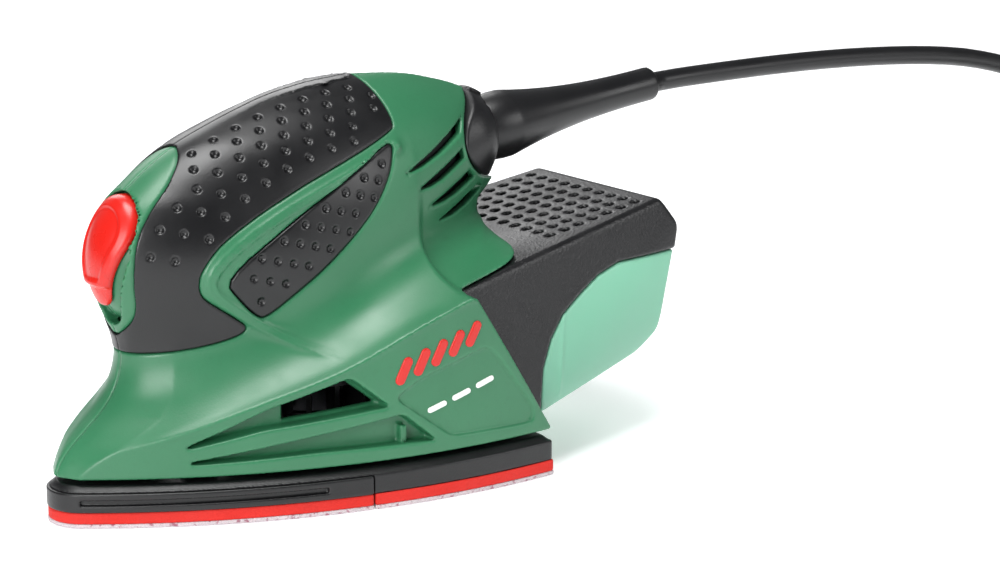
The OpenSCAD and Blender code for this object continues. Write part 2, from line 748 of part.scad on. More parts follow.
module field_coils() {
    color(copper) on_axis() for (s = [0, 180]) rotate(s) intersection() {
        difference() {
            translate([0, 0, core_z[0] - 6]) cylinder(r = 19.9, h = core_z[1] - core_z[0] + 12, $fn = 72);
            translate([0, 0, 40]) cylinder(r = 15.4, h = 60, $fn = 72);
        }
        translate([13.1, -10.9, 40]) cube([6, 21.8, 60]);
    }
}

module brush_holders() {
    color(brass) translate([motor_x, 0, 92.5]) for (s = [-1, 1]) scale([1, s, 1]) difference() {
        translate([-4.2, 9.4, -4.8]) cube([8.4, 10.4, 9.6]);
        translate([-3.1, 8, -3.6]) cube([6.2, 10.8, 7.2]);
    }
}

module carbon_brushes() {
    color([0.2, 0.2, 0.2]) translate([motor_x, 0, 92.5]) for (s = [-1, 1]) scale([1, s, 1])
        translate([-3, 8.08, -3.5]) cube([6, 6.4, 7]);
}

module brush_springs() {
    color(steel) translate([motor_x, 0, 92.5]) for (s = [-1, 1]) for (i = [0 : 3])
        translate([0, s * (15 + i), 0]) rotate([90, 0, 0]) rotate_extrude($fn = 36) translate([2, 0]) circle(r = 0.4, $fn = 16);
}

module counterweight() {
    color(brass) on_axis() difference() {
        union() {
            translate([0, 0, weight_z[0]]) cylinder(r = 7, h = weight_z[1] - weight_z[0], $fn = 60);
            intersection() {
                translate([0, 0, weight_z[0]]) cylinder(r = 15.5, h = 6, $fn = 72);
                translate([-20, -20, 20]) cube([18, 40, 12]);
            }
        }
        translate([0, 0, 20]) cylinder(r = 4, h = 12, $fn = 72);
    }
}

module fan() {
    color(black) on_axis() {
        difference() {
            union() {
                translate([0, 0, fan_z[1] - 1.6]) cylinder(r = fan_r, h = 1.6, $fn = 90);
                translate([0, 0, weight_z[1] + 0.1]) cylinder(r = 7, h = 6.4, $fn = 60);
            }
            translate([0, 0, 20]) cylinder(r = 4, h = 20, $fn = 72);
        }
        for (i = [0 : fan_blades - 1]) rotate(360 * i / fan_blades) translate([17.6, -0.7, fan_z[0]])
            cube([fan_r - 18, 1.4, fan_z[1] - 1.5 - fan_z[0]]);
    }
}

// ---- sanding plate ----

module rubber_legs() {
    color(black) for (p = leg_places) translate([p[0], p[1], 0]) rotate_extrude($fn = 48)
        polygon([[0, 12.02], [5.6, 12.02], [5.6, 14.5], [3.4, 17], [3.4, 31], [5.2, 33.4], [5.2, 36], [2.6, 36],
            [2.6, 38.8], [0, 38.8]]);
}

module leg_screws() {
    color(steel) for (p = leg_places) translate([p[0], p[1], 0]) {
        translate([0, 0, 8.3]) cylinder(r = 2.9, h = 2, $fn = 32);
        translate([0, 0, 10.2]) cylinder(r = 1.6, h = 1.8, $fn = 24);
    }
}

module carrier_plate() {
    low = sheet_t + pad_t;
    color(black) difference() {
        union() {
            plate(0.6, low, plate_top);
            on_axis(motor_x + throw) translate([0, 0, plate_top - 1]) cylinder(r = 14, h = 10, $fn = 72);
        }
        intersection() {
            plate(-2, low - 1, 10);
            tip_side(low - 1, 10);
        }
        on_axis(motor_x + throw) translate([0, 0, eccentric_z[0]]) cylinder(r = 11, h = 10, $fn = 72);
        on_axis(motor_x + throw) translate([0, 0, 12.3]) cylinder(r = 7, h = 4, $fn = 60);
        for (p = leg_places) translate([p[0], p[1], 0]) {
            cylinder(r = 3.2, h = 10.3, $fn = 32);
            cylinder(r = 1.7, h = 14, $fn = 24);
        }
        translate([-8, 0, 0]) cylinder(r = 2.1, h = 14, $fn = 32);
        for (s = [-1, 1]) for (i = [0 : 3]) translate([-48 + 5 * i, s * (6 + 3 * i), 11]) cylinder(r = 2, h = 3, $fn = 24);
    }
}

module delta_plate() {
    low = sheet_t + pad_t;
    color(black) difference() {
        intersection() {
            plate(0, low, 9.96);
            tip_side(low, 9.96, 0.25);
        }
        for (p = leg_places) if (p[0] < 0) translate([p[0], p[1], 0]) cylinder(r = 3.4, h = 12, $fn = 32);
        translate([-8, 0, 0]) cylinder(r = 2.1, h = 14, $fn = 32);
        translate([-8, 0, 0]) cylinder(r = 4.2, h = 6.4, $fn = 32);
    }
}

module delta_screw() {
    color(steel) translate([-8, 0, 0]) {
        translate([0, 0, 4.6]) cylinder(r = 4, h = 1.8, $fn = 32);
        translate([0, 0, 6.4]) cylinder(r = 2.05, h = 5, $fn = 32);
    }
}

module pad_holes(low, high) {
    for (s = [-1, 1]) {
        for (x = [-24, -2]) translate([x, s * (x < -10 ? 22 : 30), low - 1]) cylinder(r = 4, h = high - low + 2, $fn = 36);
        for (x = [24, 44, 60]) translate([x, s * 34, low - 1]) cylinder(r = 4, h = high - low + 2, $fn = 36);
    }
}

// Front or rear layer of the plate with its dust holes.
module layer(tip, d, low, high) {
    difference() {
        intersection() {
            plate(d, low, high);
            if (tip) tip_side(low, high, 0.25);
            else plate(d, low, high);
        }
        if (!tip) tip_side(low - 1, high + 1, -0.25);
        pad_holes(low, high);
    }
}

module rear_pad() {
    color(red) layer(false, 0.3, sheet_t, sheet_t + pad_t);
}

module delta_pad() {
    color(red) difference() {
        layer(true, 0.3, sheet_t, sheet_t + pad_t);
        translate([-8, 0, 0]) cylinder(r = 4.4, h = 8, $fn = 32);
        for (p = leg_places) if (p[0] < 0) translate([p[0], p[1], 0]) cylinder(r = 3.4, h = 8, $fn = 32);
    }
}

module rear_sheet() {
    color([0.86, 0.80, 0.78]) layer(false, 0, 0, sheet_t);
}

module delta_sheet() {
    color([0.86, 0.80, 0.78]) layer(true, 0, 0, sheet_t);
}

// ---- wires inside ----

module wire(points) {
    for (i = [0 : len(points) - 2]) hull() {
        translate(points[i]) sphere(r = 0.9, $fn = 10);
        translate(points[i + 1]) sphere(r = 0.9, $fn = 10);
    }
}

module motor_leads() {
    color([0.2, 0.35, 0.75]) for (s = [-1, 1]) {
        wire([[41, s * 4, 89], [34, s * 7, 89.5], [28, s * 11, 91], [23.4, s * 14, 92.4]]);
        wire([[-27, s * 3.5, 60], [-22, s * 4.5, 57], [-17, s * 6, 55.4], [-11, s * 12, 53.6], [-7, s * 14, 53]]);
    }
}

// ---- dust box ----

module box_shape(d) {
    hull() for (c = box_corners) for (s = [-1, 1]) translate([c[0], s * c[1], c[2]]) sphere(r = box_round + d, $fn = 16);
}

module above_curve(g) {
    across(concat([for (p = frame_curve) [p[0] - g, p[1] + g]], [[150, 64 + g], [150, 95], [20, 95], [20, 8], [69 - g, 8]]));
}

// Puts children in the tilted plane of the box's top.
module on_box_top(x) {
    translate([x, 0, box_top(x)]) rotate([0, -box_tilt, 0]) children();
}

module dust_frame() {
    color(dark) difference() {
        intersection() {
            box_shape(0);
            above_curve(0.15);
        }
        box_shape(-box_wall);
        dust_port(9, -2, 6);
        dust_port(11.8, -2, 1.3);
        on_box_top(105) for (i = [-3 : 3]) for (j = [-4.5 : 4.5])
            translate([i * grille_pitch, j * grille_pitch, -4]) hull() {
                cylinder(r = 1.65, h = 2, $fn = 6);
                translate([0, 0, 4]) cylinder(r = 1.65, h = 2, $fn = 6);
            }
    }
}

module dust_container() {
    color(mint) difference() {
        box_shape(-0.4);
        box_shape(-box_wall);
        above_curve(-0.15);
    }
}

module filter_frame() {
    color(dark) on_box_top(96) difference() {
        translate([-24, -24, -6.4]) cube([48, 48, 2.2]);
        translate([-21, -21, -8]) cube([42, 42, 6]);
    }
}

module filter_pleats() {
    color("white") on_box_top(96) translate([0, 20.9, 0]) rotate([90, 0, 0]) linear_extrude(41.8)
        polygon(concat([for (i = [0 : 20]) [-20.5 + 2.05 * i, i % 2 == 0 ? -5 : -12]],
            [for (i = [20 : -1 : 0]) [-20.5 + 2.05 * i, i % 2 == 0 ? -6.2 : -13.2]]));
}

module port_seal() {
    color(black) difference() {
        dust_port(11.6, 0.2, 1.25);
        dust_port(9.4, -2, 3);
    }
}

housing_left();
housing_right();
grip_left();
grip_right();
side_grip_left();
side_grip_right();
rear_cap();
side_bars();
side_strips();
switch_button();
switch_link();
switch_module();
capacitor();
terminal_block();
cord_clamp();
small_screws();
cord_sleeve();
inner_cord();
cord();
cord_coil();
cord_tail();
coil_tie();
plug_body();
plug_pins();
motor_shaft();
armature_core();
armature_windings();
commutator();
stator_core();
field_coils();
brush_holders();
carbon_brushes();
brush_springs();
upper_bearing_outer();
upper_bearing_inner();
lower_bearing_outer();
lower_bearing_inner();
bearing_bush();
bearing_bracket();
fan();
counterweight();
eccentric_bearing_outer();
eccentric_bearing_inner();
circlip();
rubber_legs();
leg_screws();
carrier_plate();
delta_plate();
delta_screw();
rear_pad();
delta_pad();
rear_sheet();
delta_sheet();
housing_screws();
motor_leads();
dust_frame();
dust_container();
filter_frame();
filter_pleats();
port_seal();
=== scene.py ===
"""Electric delta sander with a dust box and a mains cord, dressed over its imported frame.

Shapes are signed fields in millimetres, negative inside the material, in the model's own
frame: nose towards -X, cord towards +X, +Z up. net() turns a field into a mesh.
"""
import math
from functools import reduce
from itertools import combinations

import bpy
import numpy as np
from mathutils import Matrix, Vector


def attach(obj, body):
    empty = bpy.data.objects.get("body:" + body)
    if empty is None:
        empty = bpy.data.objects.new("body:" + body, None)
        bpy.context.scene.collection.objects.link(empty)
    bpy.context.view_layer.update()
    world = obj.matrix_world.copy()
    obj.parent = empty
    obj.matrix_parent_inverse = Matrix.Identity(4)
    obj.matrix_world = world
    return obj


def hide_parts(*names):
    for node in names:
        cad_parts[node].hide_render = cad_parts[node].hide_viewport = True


MM = 0.001
CAMERA_PLACE = (-495.8, -743.3, 279.7)
CAMERA_TARGET = (63.35, -32.7, 54.05)
LENS = 114.4
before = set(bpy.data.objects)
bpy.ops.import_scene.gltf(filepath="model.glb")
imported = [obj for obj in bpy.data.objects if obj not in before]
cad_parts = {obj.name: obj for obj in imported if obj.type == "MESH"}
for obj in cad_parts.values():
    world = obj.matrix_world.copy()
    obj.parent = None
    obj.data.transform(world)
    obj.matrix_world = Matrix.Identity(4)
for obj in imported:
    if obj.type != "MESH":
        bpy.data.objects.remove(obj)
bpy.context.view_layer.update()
scene = bpy.context.scene


# ---- camera ----

def placed(name, data, place, target):
    """A camera or light at a place in metres, turned to a target."""
    thing = bpy.data.objects.new(name, data)
    thing.location = Vector(place)
    thing.rotation_euler = (Vector(target) - thing.location).to_track_quat("-Z", "Y").to_euler()
    scene.collection.objects.link(thing)
    return thing


def make_camera():
    data = bpy.data.cameras.new("camera")
    data.lens = LENS
    data.sensor_width = 36
    data.clip_start = 0.05
    scene.camera = placed("camera", data, Vector(CAMERA_PLACE) * MM, Vector(CAMERA_TARGET) * MM)


make_camera()
scene.view_settings.view_transform = "Standard"


# ---- materials ----

class Nodes:
    """Short calls for a material's node tree."""

    def __init__(self, name):
        self.material = bpy.data.materials.new(name)
        self.material.use_nodes = True
        self.tree = self.material.node_tree
        self.shader = self.tree.nodes["Principled BSDF"]
        self.place = self.tree.nodes.new("ShaderNodeTexCoord").outputs["Object"]

    def add(self, kind, links=(), **values):
        node = self.tree.nodes.new(kind)
        for key, value in values.items():
            if hasattr(node, key):
                setattr(node, key, value)
            else:
                node.inputs[key].default_value = value
        for socket, source in links:
            self.tree.links.new(source, node.inputs[socket])
        return node

    def noise(self, size, detail=2.0, rough=0.5):
        """Noise with grains of about size metres."""
        return self.add("ShaderNodeTexNoise", [("Vector", self.place)], Scale=1 / size, Detail=detail,
                        Roughness=rough).outputs["Fac"]

    def spread(self, source, low, high, start=0.3, end=0.7):
        return self.add("ShaderNodeMapRange", [("Value", source)], **{
            "From Min": start, "From Max": end, "To Min": low, "To Max": high}).outputs["Result"]

    def mix(self, factor, a, b):
        node = self.add("ShaderNodeMix", data_type="RGBA")
        sockets = [s for s in node.inputs if s.enabled]
        for socket, value in zip(sockets, (factor, a, b)):
            if isinstance(value, bpy.types.NodeSocket):
                self.tree.links.new(value, socket)
            else:
                socket.default_value = value
        return [s for s in node.outputs if s.enabled][0]

    def bump(self, source, strength, distance):
        return self.add("ShaderNodeBump", [("Height", source)], Strength=strength,
                        Distance=distance).outputs["Normal"]

    def to(self, socket, source):
        self.tree.links.new(source, self.shader.inputs[socket])

    def set(self, **values):
        for key, value in values.items():
            self.shader.inputs[key.replace("_", " ")].default_value = value


def rgb(red, green, blue):
    """Linear colour from screen values of 0 to 255."""
    c = np.array([red, green, blue]) / 255
    return (*np.where(c <= 0.04045, c / 12.92, ((c + 0.055) / 1.055) ** 2.4).tolist(), 1)


def scaled(colour, k):
    return tuple(min(c * k, 1) for c in colour[:3]) + (1,)


def plastic(name, colour, roughness, grain, depth, vary, edge=0.0):
    """Moulded plastic or rubber: fine texture, slow colour drift, a few darker patches and, where edge is
    given, painted highlights on convex edges.
    """
    n = Nodes(name)
    slow = n.noise(0.035, 3)
    fine = n.noise(grain, 2)
    speck = n.noise(grain * 3, 1)
    base = n.mix(n.spread(slow, 0, 1), scaled(colour, 1 - vary), scaled(colour, 1 + vary))
    base = n.mix(n.spread(speck, 0, 0.5, 0.55, 0.8), base, scaled(colour, 1 - 2 * vary))
    # painted highlight: where edge is given, convex edges are lightened up to 1.9 times the colour
    if edge:
        painted_edge_highlight = n.add("ShaderNodeNewGeometry").outputs["Pointiness"]
        base = n.mix(n.spread(painted_edge_highlight, 0, edge, 0.52, 0.6), base, scaled(colour, 1.9))
    n.to("Base Color", base)
    n.to("Roughness", n.spread(n.noise(0.012, 4), roughness - 0.05, roughness + 0.07))
    n.to("Normal", n.bump(fine, depth, grain * 0.5))
    return n.material


def metal(name, colour, roughness, brushed=0.0008):
    n = Nodes(name)
    n.to("Base Color", n.mix(n.spread(n.noise(0.006, 4), 0, 1), scaled(colour, 0.88), colour))
    n.to("Roughness", n.spread(n.noise(0.003, 3), roughness - 0.08, roughness + 0.12))
    n.to("Normal", n.bump(n.noise(brushed, 2), 0.1, 0.0001))
    n.set(Metallic=1.0)
    return n.material


def banded(name, colour, pitch, dark, metallic, roughness, axis="Z"):
    """Stacked sheets or wound wire: fine bands along one axis."""
    n = Nodes(name)
    wave = n.add("ShaderNodeTexWave", [("Vector", n.place)], wave_type="BANDS", bands_direction=axis,
                 Scale=1 / (math.pi * pitch), Distortion=0.6, Detail=1.0).outputs["Fac"]
    n.to("Base Color", n.mix(n.spread(wave, 0, 1, 0.2, 0.6), scaled(colour, dark), colour))
    n.to("Roughness", n.spread(n.noise(0.004), roughness - 0.06, roughness + 0.1))
    n.to("Normal", n.bump(wave, 0.5, pitch * 0.3))
    n.set(Metallic=metallic)
    return n.material


def grit(name, colour, fleck):
    """Abrasive paper: pale backing full of fine grains."""
    n = Nodes(name)
    grains = n.add("ShaderNodeTexVoronoi", [("Vector", n.place)], Scale=2600.0).outputs["Distance"]
    base = n.mix(n.spread(grains, 0, 1, 0.1, 0.6), scaled(colour, 0.75), colour)
    base = n.mix(n.spread(n.noise(0.0016, 3), 0, 0.8, 0.56, 0.66), base, fleck)
    n.to("Base Color", base)
    n.to("Normal", n.bump(grains, 0.6, 0.0003))
    n.set(Roughness=0.9)
    return n.material


def milky(name, colour):
    """Translucent moulded plastic of the dust container."""
    n = Nodes(name)
    # painted shade: the colour darkens towards the bottom of the container and lightens towards its top
    low = n.add("ShaderNodeSeparateXYZ", [("Vector", n.place)]).outputs["Z"]
    tone = n.mix(n.spread(low, 0, 1, 0.024, 0.064), scaled(colour, 0.72), scaled(colour, 1.08))
    tone = n.mix(n.spread(n.noise(0.02, 3), 0, 0.5), tone, scaled(colour, 0.9))
    n.to("Base Color", tone)
    n.to("Roughness", n.spread(n.noise(0.01, 3), 0.3, 0.42))
    n.to("Normal", n.bump(n.noise(0.0006), 0.05, 0.0002))
    n.set(Subsurface_Weight=0.25, Subsurface_Radius=(0.004, 0.008, 0.006), Transmission_Weight=0.12, IOR=1.45)
    return n.material


GREEN = rgb(46, 110, 75)
materials = {
    "green_plastic": plastic("moulded_green", GREEN, 0.36, 0.0005, 0.1, 0.05, 0.25),
    "black_rubber": plastic("grip_rubber", rgb(12, 12, 14), 0.34, 0.0004, 0.12, 0.1),
    "cord_rubber": plastic("cord_rubber", rgb(13, 13, 15), 0.38, 0.0004, 0.1, 0.1),
    "black_plastic": plastic("black_plastic", rgb(13, 13, 15), 0.38, 0.0006, 0.2, 0.1, 0.1),
    "dark_plastic": plastic("textured_black", rgb(15, 15, 17), 0.36, 0.0008, 0.35, 0.1, 0.2),
    "red_plastic": plastic("red_plastic", rgb(196, 26, 16), 0.3, 0.0006, 0.05, 0.04),
    "red_pad": plastic("red_pad", rgb(200, 28, 16), 0.75, 0.0009, 0.6, 0.06),
    "white_plastic": plastic("white_plastic", rgb(232, 234, 230), 0.4, 0.0006, 0.08, 0.03),
    "yellow_plastic": plastic("yellow_plastic", rgb(210, 170, 50), 0.35, 0.0006, 0.06, 0.05),
    "mint_plastic": milky("mint_plastic", rgb(134, 200, 170)),
    "steel": metal("steel", rgb(190, 192, 196), 0.28),
    "nickel": metal("nickel", rgb(205, 200, 188), 0.22),
    "dark_steel": metal("dark_steel", rgb(84, 84, 88), 0.42),
    "die_cast": metal("die_cast", rgb(176, 176, 172), 0.5, 0.0015),
    "brass": metal("brass", rgb(205, 168, 88), 0.3),
    "carbon": plastic("carbon", rgb(38, 38, 40), 0.55, 0.0004, 0.2, 0.15),
    "copper": banded("wound_copper", rgb(188, 98, 52), 0.0007, 0.5, 0.9, 0.32),
    "lamination": banded("lamination", rgb(150, 150, 155), 0.0005, 0.5, 0.9, 0.4),
    "filter_paper": banded("filter_paper", rgb(228, 224, 210), 0.003, 0.85, 0.0, 0.9, "X"),
    "abrasive": grit("abrasive", rgb(198, 188, 192), rgb(140, 60, 86)),
    "wire_blue": plastic("wire_blue", rgb(58, 92, 190), 0.4, 0.0005, 0.05, 0.06),
}


# ---- pieces ----

def piece(name, mesh, slot, body, replaced):
    """Adds a mesh of (points in mm, faces) as a piece that rides on a body."""
    points, faces = mesh
    data = bpy.data.meshes.new(name)
    if isinstance(faces, list):
        data.from_pydata([tuple(p * MM) for p in points], [], faces)
    else:
        count, sides = faces.shape
        data.vertices.add(len(points))
        data.vertices.foreach_set("co", (points * MM).astype(np.float32).ravel())
        data.loops.add(count * sides)
        data.loops.foreach_set("vertex_index", faces.astype(np.int32).ravel())
        data.polygons.add(count)
        data.polygons.foreach_set("loop_start", np.arange(0, count * sides, sides, dtype=np.int32))
    data.update(calc_edges=True)
    data.validate()
    data.polygons.foreach_set("use_smooth", [True] * len(data.polygons))
    data.materials.append(materials[slot])
    thing = bpy.data.objects.new(name, data)
    scene.collection.objects.link(thing)
    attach(thing, body)
    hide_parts(*replaced)
    return thing


def mirrored(mesh):
    """The same mesh on the other side of the plane y = 0."""
    points, faces = mesh
    return points * np.array([1, -1, 1]), faces[:, ::-1]


def pair(name, mesh, slot, body="housing"):
    """Left and right pieces from a mesh of the right-hand (y > 0) one."""
    piece(f"{name}_right_skin", mesh, slot, body, [f"{name}_right"])
    piece(f"{name}_left_skin", mirrored(mesh), slot, body, [f"{name}_left"])


# ---- fields ----

def smax(a, b, k):
    """Larger of two fields, with the edge between them rounded over a band of k mm."""
    h = np.maximum(k - np.abs(a - b), 0)
    return np.maximum(a, b) + h * h / (4 * k)


def smin(a, b, k):
    return -smax(-a, -b, k)


def meet(*fields):
    """What the fields share, with sharp edges."""
    return reduce(np.maximum, fields)


def cut(solid, tool, k):
    """A solid without what lies inside the tool."""
    return smax(solid, -tool, k)


def between(z, low, high, k):
    return smax(low - z, z - high, k)


def nearest(x, y, places):
    """Distance from the nearest of the places."""
    return reduce(np.minimum, [np.hypot(x - px, y - py) for px, py in places])


def ease(t):
    """Smooth step from 0 to 1."""
    c = np.clip(t, 0, 1)
    return c * c * (3 - 2 * c)


def net(field, low, high, cell):
    """Closed mesh of quads where field is zero, from cells of the given size in mm."""
    cell = np.broadcast_to(np.asarray(cell, float), 3)
    axes = [np.arange(low[i], high[i] + cell[i], cell[i]) for i in range(3)]
    shape = tuple(len(a) for a in axes)
    v = np.array(np.broadcast_to(field(*np.ix_(*axes)), shape), np.float32)
    inside = v < 0
    count = np.zeros(tuple(s - 1 for s in shape), np.int8)
    corners = [(a, b, c) for a in (0, 1) for b in (0, 1) for c in (0, 1)]
    for a, b, c in corners:
        count += inside[a:shape[0] - 1 + a, b:shape[1] - 1 + b, c:shape[2] - 1 + c]
    at = np.argwhere((count > 0) & (count < 8))
    ids = np.full(count.shape, -1, np.int32)
    ids[tuple(at.T)] = np.arange(len(at))
    # each cell's point is the mean of its edges' crossings
    total = np.zeros((len(at), 3))
    crossings = np.zeros(len(at))
    for axis in range(3):
        step = np.eye(3, dtype=int)[axis]
        for a, b, c in corners:
            if (a, b, c)[axis]:
                continue
            start = at + (a, b, c)
            v0 = v[tuple(start.T)]
            v1 = v[tuple((start + step).T)]
            hit = (v0 < 0) != (v1 < 0)
            share = np.where(hit, v0 / np.where(hit, v0 - v1, 1), 0)
            total += np.where(hit[:, None], start + share[:, None] * step, 0)
            crossings += hit
    points = np.array(low) + total / crossings[:, None] * cell
    # one quad for each grid edge that crosses the surface
    faces = []
    for axis in range(3):
        u, w = (axis + 1) % 3, (axis + 2) % 3
        edge = np.argwhere(np.diff(inside, axis=axis))
        eu, ew = edge[:, u], edge[:, w]
        edge = edge[(eu > 0) & (ew > 0) & (eu < shape[u] - 1) & (ew < shape[w] - 1)]
        du, dw = np.eye(3, dtype=int)[u], np.eye(3, dtype=int)[w]
        around = [edge - a * du - b * dw for a, b in ((1, 1), (0, 1), (0, 0), (1, 0))]
        quad = np.stack([ids[tuple(cell_at.T)] for cell_at in around], 1)
        outward = inside[tuple(edge.T)]
        faces.append(np.where(outward[:, None], quad, quad[:, ::-1]))
    faces = np.concatenate(faces)
    # two steps of Newton's method onto the surface
    h = cell.min() * 0.2
    for _ in range(2):
        p = points.T
        value = field(*p)
        slope = np.stack([(field(*(p + h * e[:, None])) - field(*(p - h * e[:, None]))) / (2 * h)
                          for e in np.eye(3)], 1)
        move = -value[:, None] * slope / np.maximum((slope * slope).sum(1), 0.3)[:, None]
        points = points + np.clip(move, -0.5 * cell, 0.5 * cell)
    return points, faces


def rounded(points):
    """A closed outline with its corners cut off twice."""
    p = np.asarray(points, float)
    for _ in range(2):
        q = np.roll(p, -1, 0)
        p = np.stack([0.75 * p + 0.25 * q, 0.25 * p + 0.75 * q], 1).reshape(-1, 2)
    return p


def filleted(points, cut):
    """A closed outline with round corners that start a given way before each corner."""
    p = np.asarray(points, float)
    line = []
    for before, corner, after in zip(np.roll(p, 1, 0), p, np.roll(p, -1, 0)):
        ends = []
        for other in (before, after):
            way = other - corner
            size = np.linalg.norm(way)
            ends.append(corner + way / size * min(cut, 0.45 * size))
        for t in np.linspace(0, 1, 7):
            line.append((1 - t) ** 2 * ends[0] + 2 * t * (1 - t) * corner + t * t * ends[1])
    return line


def softened(points):
    """An open line with its corners cut off twice."""
    p = np.asarray(points, float)
    for _ in range(2):
        inner = np.stack([0.75 * p[:-1] + 0.25 * p[1:], 0.25 * p[:-1] + 0.75 * p[1:]], 1).reshape(-1, 2)
        p = np.concatenate([p[:1], inner, p[-1:]])
    return p


def line_distance(points):
    """Distance in the side view from an open line."""
    p = np.asarray(points, float)

    def distance(x, z):
        best = 1e9
        for (ax, az), (ex, ez) in zip(p, np.diff(p, axis=0)):
            t = np.clip(((x - ax) * ex + (z - az) * ez) / (ex * ex + ez * ez), 0, 1)
            best = np.minimum(best, (x - ax - t * ex) ** 2 + (z - az - t * ez) ** 2)
        return np.sqrt(best)
    return distance


def outline_distance(points):
    """Signed distance in the side view from a closed outline, negative inside."""
    p = np.append(points, points[:1], 0)
    from_line = line_distance(p)

    def distance(x, z):
        odd = False
        for (ax, az), (bx, bz) in zip(p, p[1:]):
            if az != bz:
                odd = odd ^ (((az > z) != (bz > z)) & (x < ax + (z - az) * (bx - ax) / (bz - az)))
        return np.where(odd, -1, 1) * from_line(x, z)
    return distance


class Map:
    """A function of x and z in the side view, kept on a fine grid and read between its points."""
    step = 0.3
    start = (-84.0, 6.0)
    size = (640, 400)

    def __init__(self, function):
        if isinstance(function, np.ndarray):
            self.values = function
            return
        x = self.start[0] + self.step * np.arange(self.size[0])[:, None]
        z = self.start[1] + self.step * np.arange(self.size[1])[None, :]
        self.values = np.broadcast_to(function(x, z), self.size)

    def __call__(self, x, z):
        u, w = (np.clip((c - start) / self.step, 0, size - 1.001)
                for c, start, size in zip((x, z), self.start, self.size))
        i, j = u.astype(int), w.astype(int)
        u, w = u - i, w - j
        low, high = (self.values[i, k] * (1 - u) + self.values[i + 1, k] * u for k in (j, j + 1))
        return low * (1 - w) + high * w


def smooth(value, table):
    """Smooth curve through a table's (key, value) pairs."""
    keys, values = np.array(table, float).T
    n = len(keys)
    low, high = np.maximum(np.arange(n) - 1, 0), np.minimum(np.arange(n) + 1, n - 1)
    slopes = (values[high] - values[low]) / (keys[high] - keys[low])
    c = np.clip(value, keys[0], keys[-1])
    i = np.clip(np.searchsorted(keys, c, side="right") - 1, 0, n - 2)
    h = keys[i + 1] - keys[i]
    t = (c - keys[i]) / h
    return ((2 * t ** 3 - 3 * t ** 2 + 1) * values[i] + (t ** 3 - 2 * t ** 2 + t) * h * slopes[i]
            + (3 * t ** 2 - 2 * t ** 3) * values[i + 1] + (t ** 3 - t ** 2) * h * slopes[i + 1])


# ---- the housing's surface ----

SKIRT_Z = 13.6
TOP_Z = 116.6
WALL = 3.2
SIDE_CENTRE = (56, 146)
SIDE_RADIUS = 197
SKIRT_RADIUS = 195.6
BOX_TILT = math.radians(9.8)
GRIP_DEPTH = 1.6
NAME_DEPTH = 0.8
UPPER_DEPTH = 5.5
LOWER_DEPTH = 5
LEGS = [(-30, -12), (-30, 12), (44, -34), (44, 34)]
THROW = 0.7
FRONT_EDGE = [[12, -69.6], [17, -67.6], [21, -64.2], [25, -59.6], [30, -53.8], [35, -49.7],
              [41, -47.4], [47, -46.9], [53, -48.4], [60, -51.6], [68, -54.6], [76, -55.6], [82, -54],
              [88, -49.2], [93, -42.9], [98, -35.9], [103, -26.9], [107, -16.5], [110.5, -6],
              [113.5, 5], [115.5, 18], [116.6, 32]]
REAR_EDGE = [[12, 76], [58, 77], [62, 77], [66, 76.5], [70, 78], [74, 81.5], [78, 85.5],
             [84, 89.5], [88, 90.5], [93, 90], [99, 86.6], [105, 81], [109, 73], [112, 64], [115, 51],
             [116.6, 33]]
GRIP_HALF = [[12, 33], [40, 31], [47, 31], [55, 32], [66, 34], [75, 34.6], [83, 33.8],
             [90, 32], [95, 30], [100, 27], [104, 23.6], [108, 19.2], [111, 15], [113.5, 10.5],
             [115.5, 5.5], [116.6, 1]]
CREASE = [[-72, 17], [-46, 25], [-20, 34.3], [0, 41], [24, 51.5], [42, 58], [80, 71]]


def box_top(x):
    return 58 + (x - 45) * math.tan(BOX_TILT)


def half_width(x, z):
    """Half width of the housing at a point of the side view."""
    front, rear = smooth(z, FRONT_EDGE), smooth(z, REAR_EDGE)
    t = np.clip((x - front) / (rear - front), 0, 1)
    grip = smooth(z, GRIP_HALF) * (1 - (1 - t) ** 2) ** 0.4545 * (1 - t ** 3.2)
    skirt = np.sqrt(np.maximum(SKIRT_RADIUS ** 2 - (x - SIDE_CENTRE[0]) ** 2, 0)) - SIDE_CENTRE[1]
    skirt = np.maximum(skirt, 0)
    nose = np.minimum(1, np.maximum(x - front, 0) / np.clip(3 + 0.35 * (z - 13), 2.6, 9)) ** 0.5
    flare = grip + (skirt * nose - grip) * np.exp(-np.maximum(z - smooth(x, CREASE), 0) / 7)
    foot = (39.7 - 0.2 * (x - 44)) * (1 - np.clip((x - 44) / 33, 0, 1) ** 6) ** 0.4
    over = grip + np.maximum(foot - grip, 0) * np.exp(-np.maximum(z - box_top(x) - 1, 0) / 4.5)
    return flare + (over - flare) * ease((x - 39) / 4) * ease(z - 57.2)


def body_power(x, z):
    """half_width to the power 2.2, carried on below zero past the body's edges."""
    outside = meet(smooth(z, FRONT_EDGE) - x, x - smooth(z, REAR_EDGE), z - TOP_Z)
    return half_width(x, z) ** 2.2 - 20 * np.maximum(outside, 0)


power = Map(body_power)
power_x, power_z = (Map(g) for g in np.gradient(power.values, Map.step))


def body(x, y, z):
    """Distance from the housing's outer surface."""
    side = np.abs(y)
    across = 2.2 * side ** 1.2
    slope = np.sqrt(power_x(x, z) ** 2 + power_z(x, z) ** 2 + across ** 2 + 1)
    return np.clip((side ** 2.2 - power(x, z)) / slope, -12, 12)


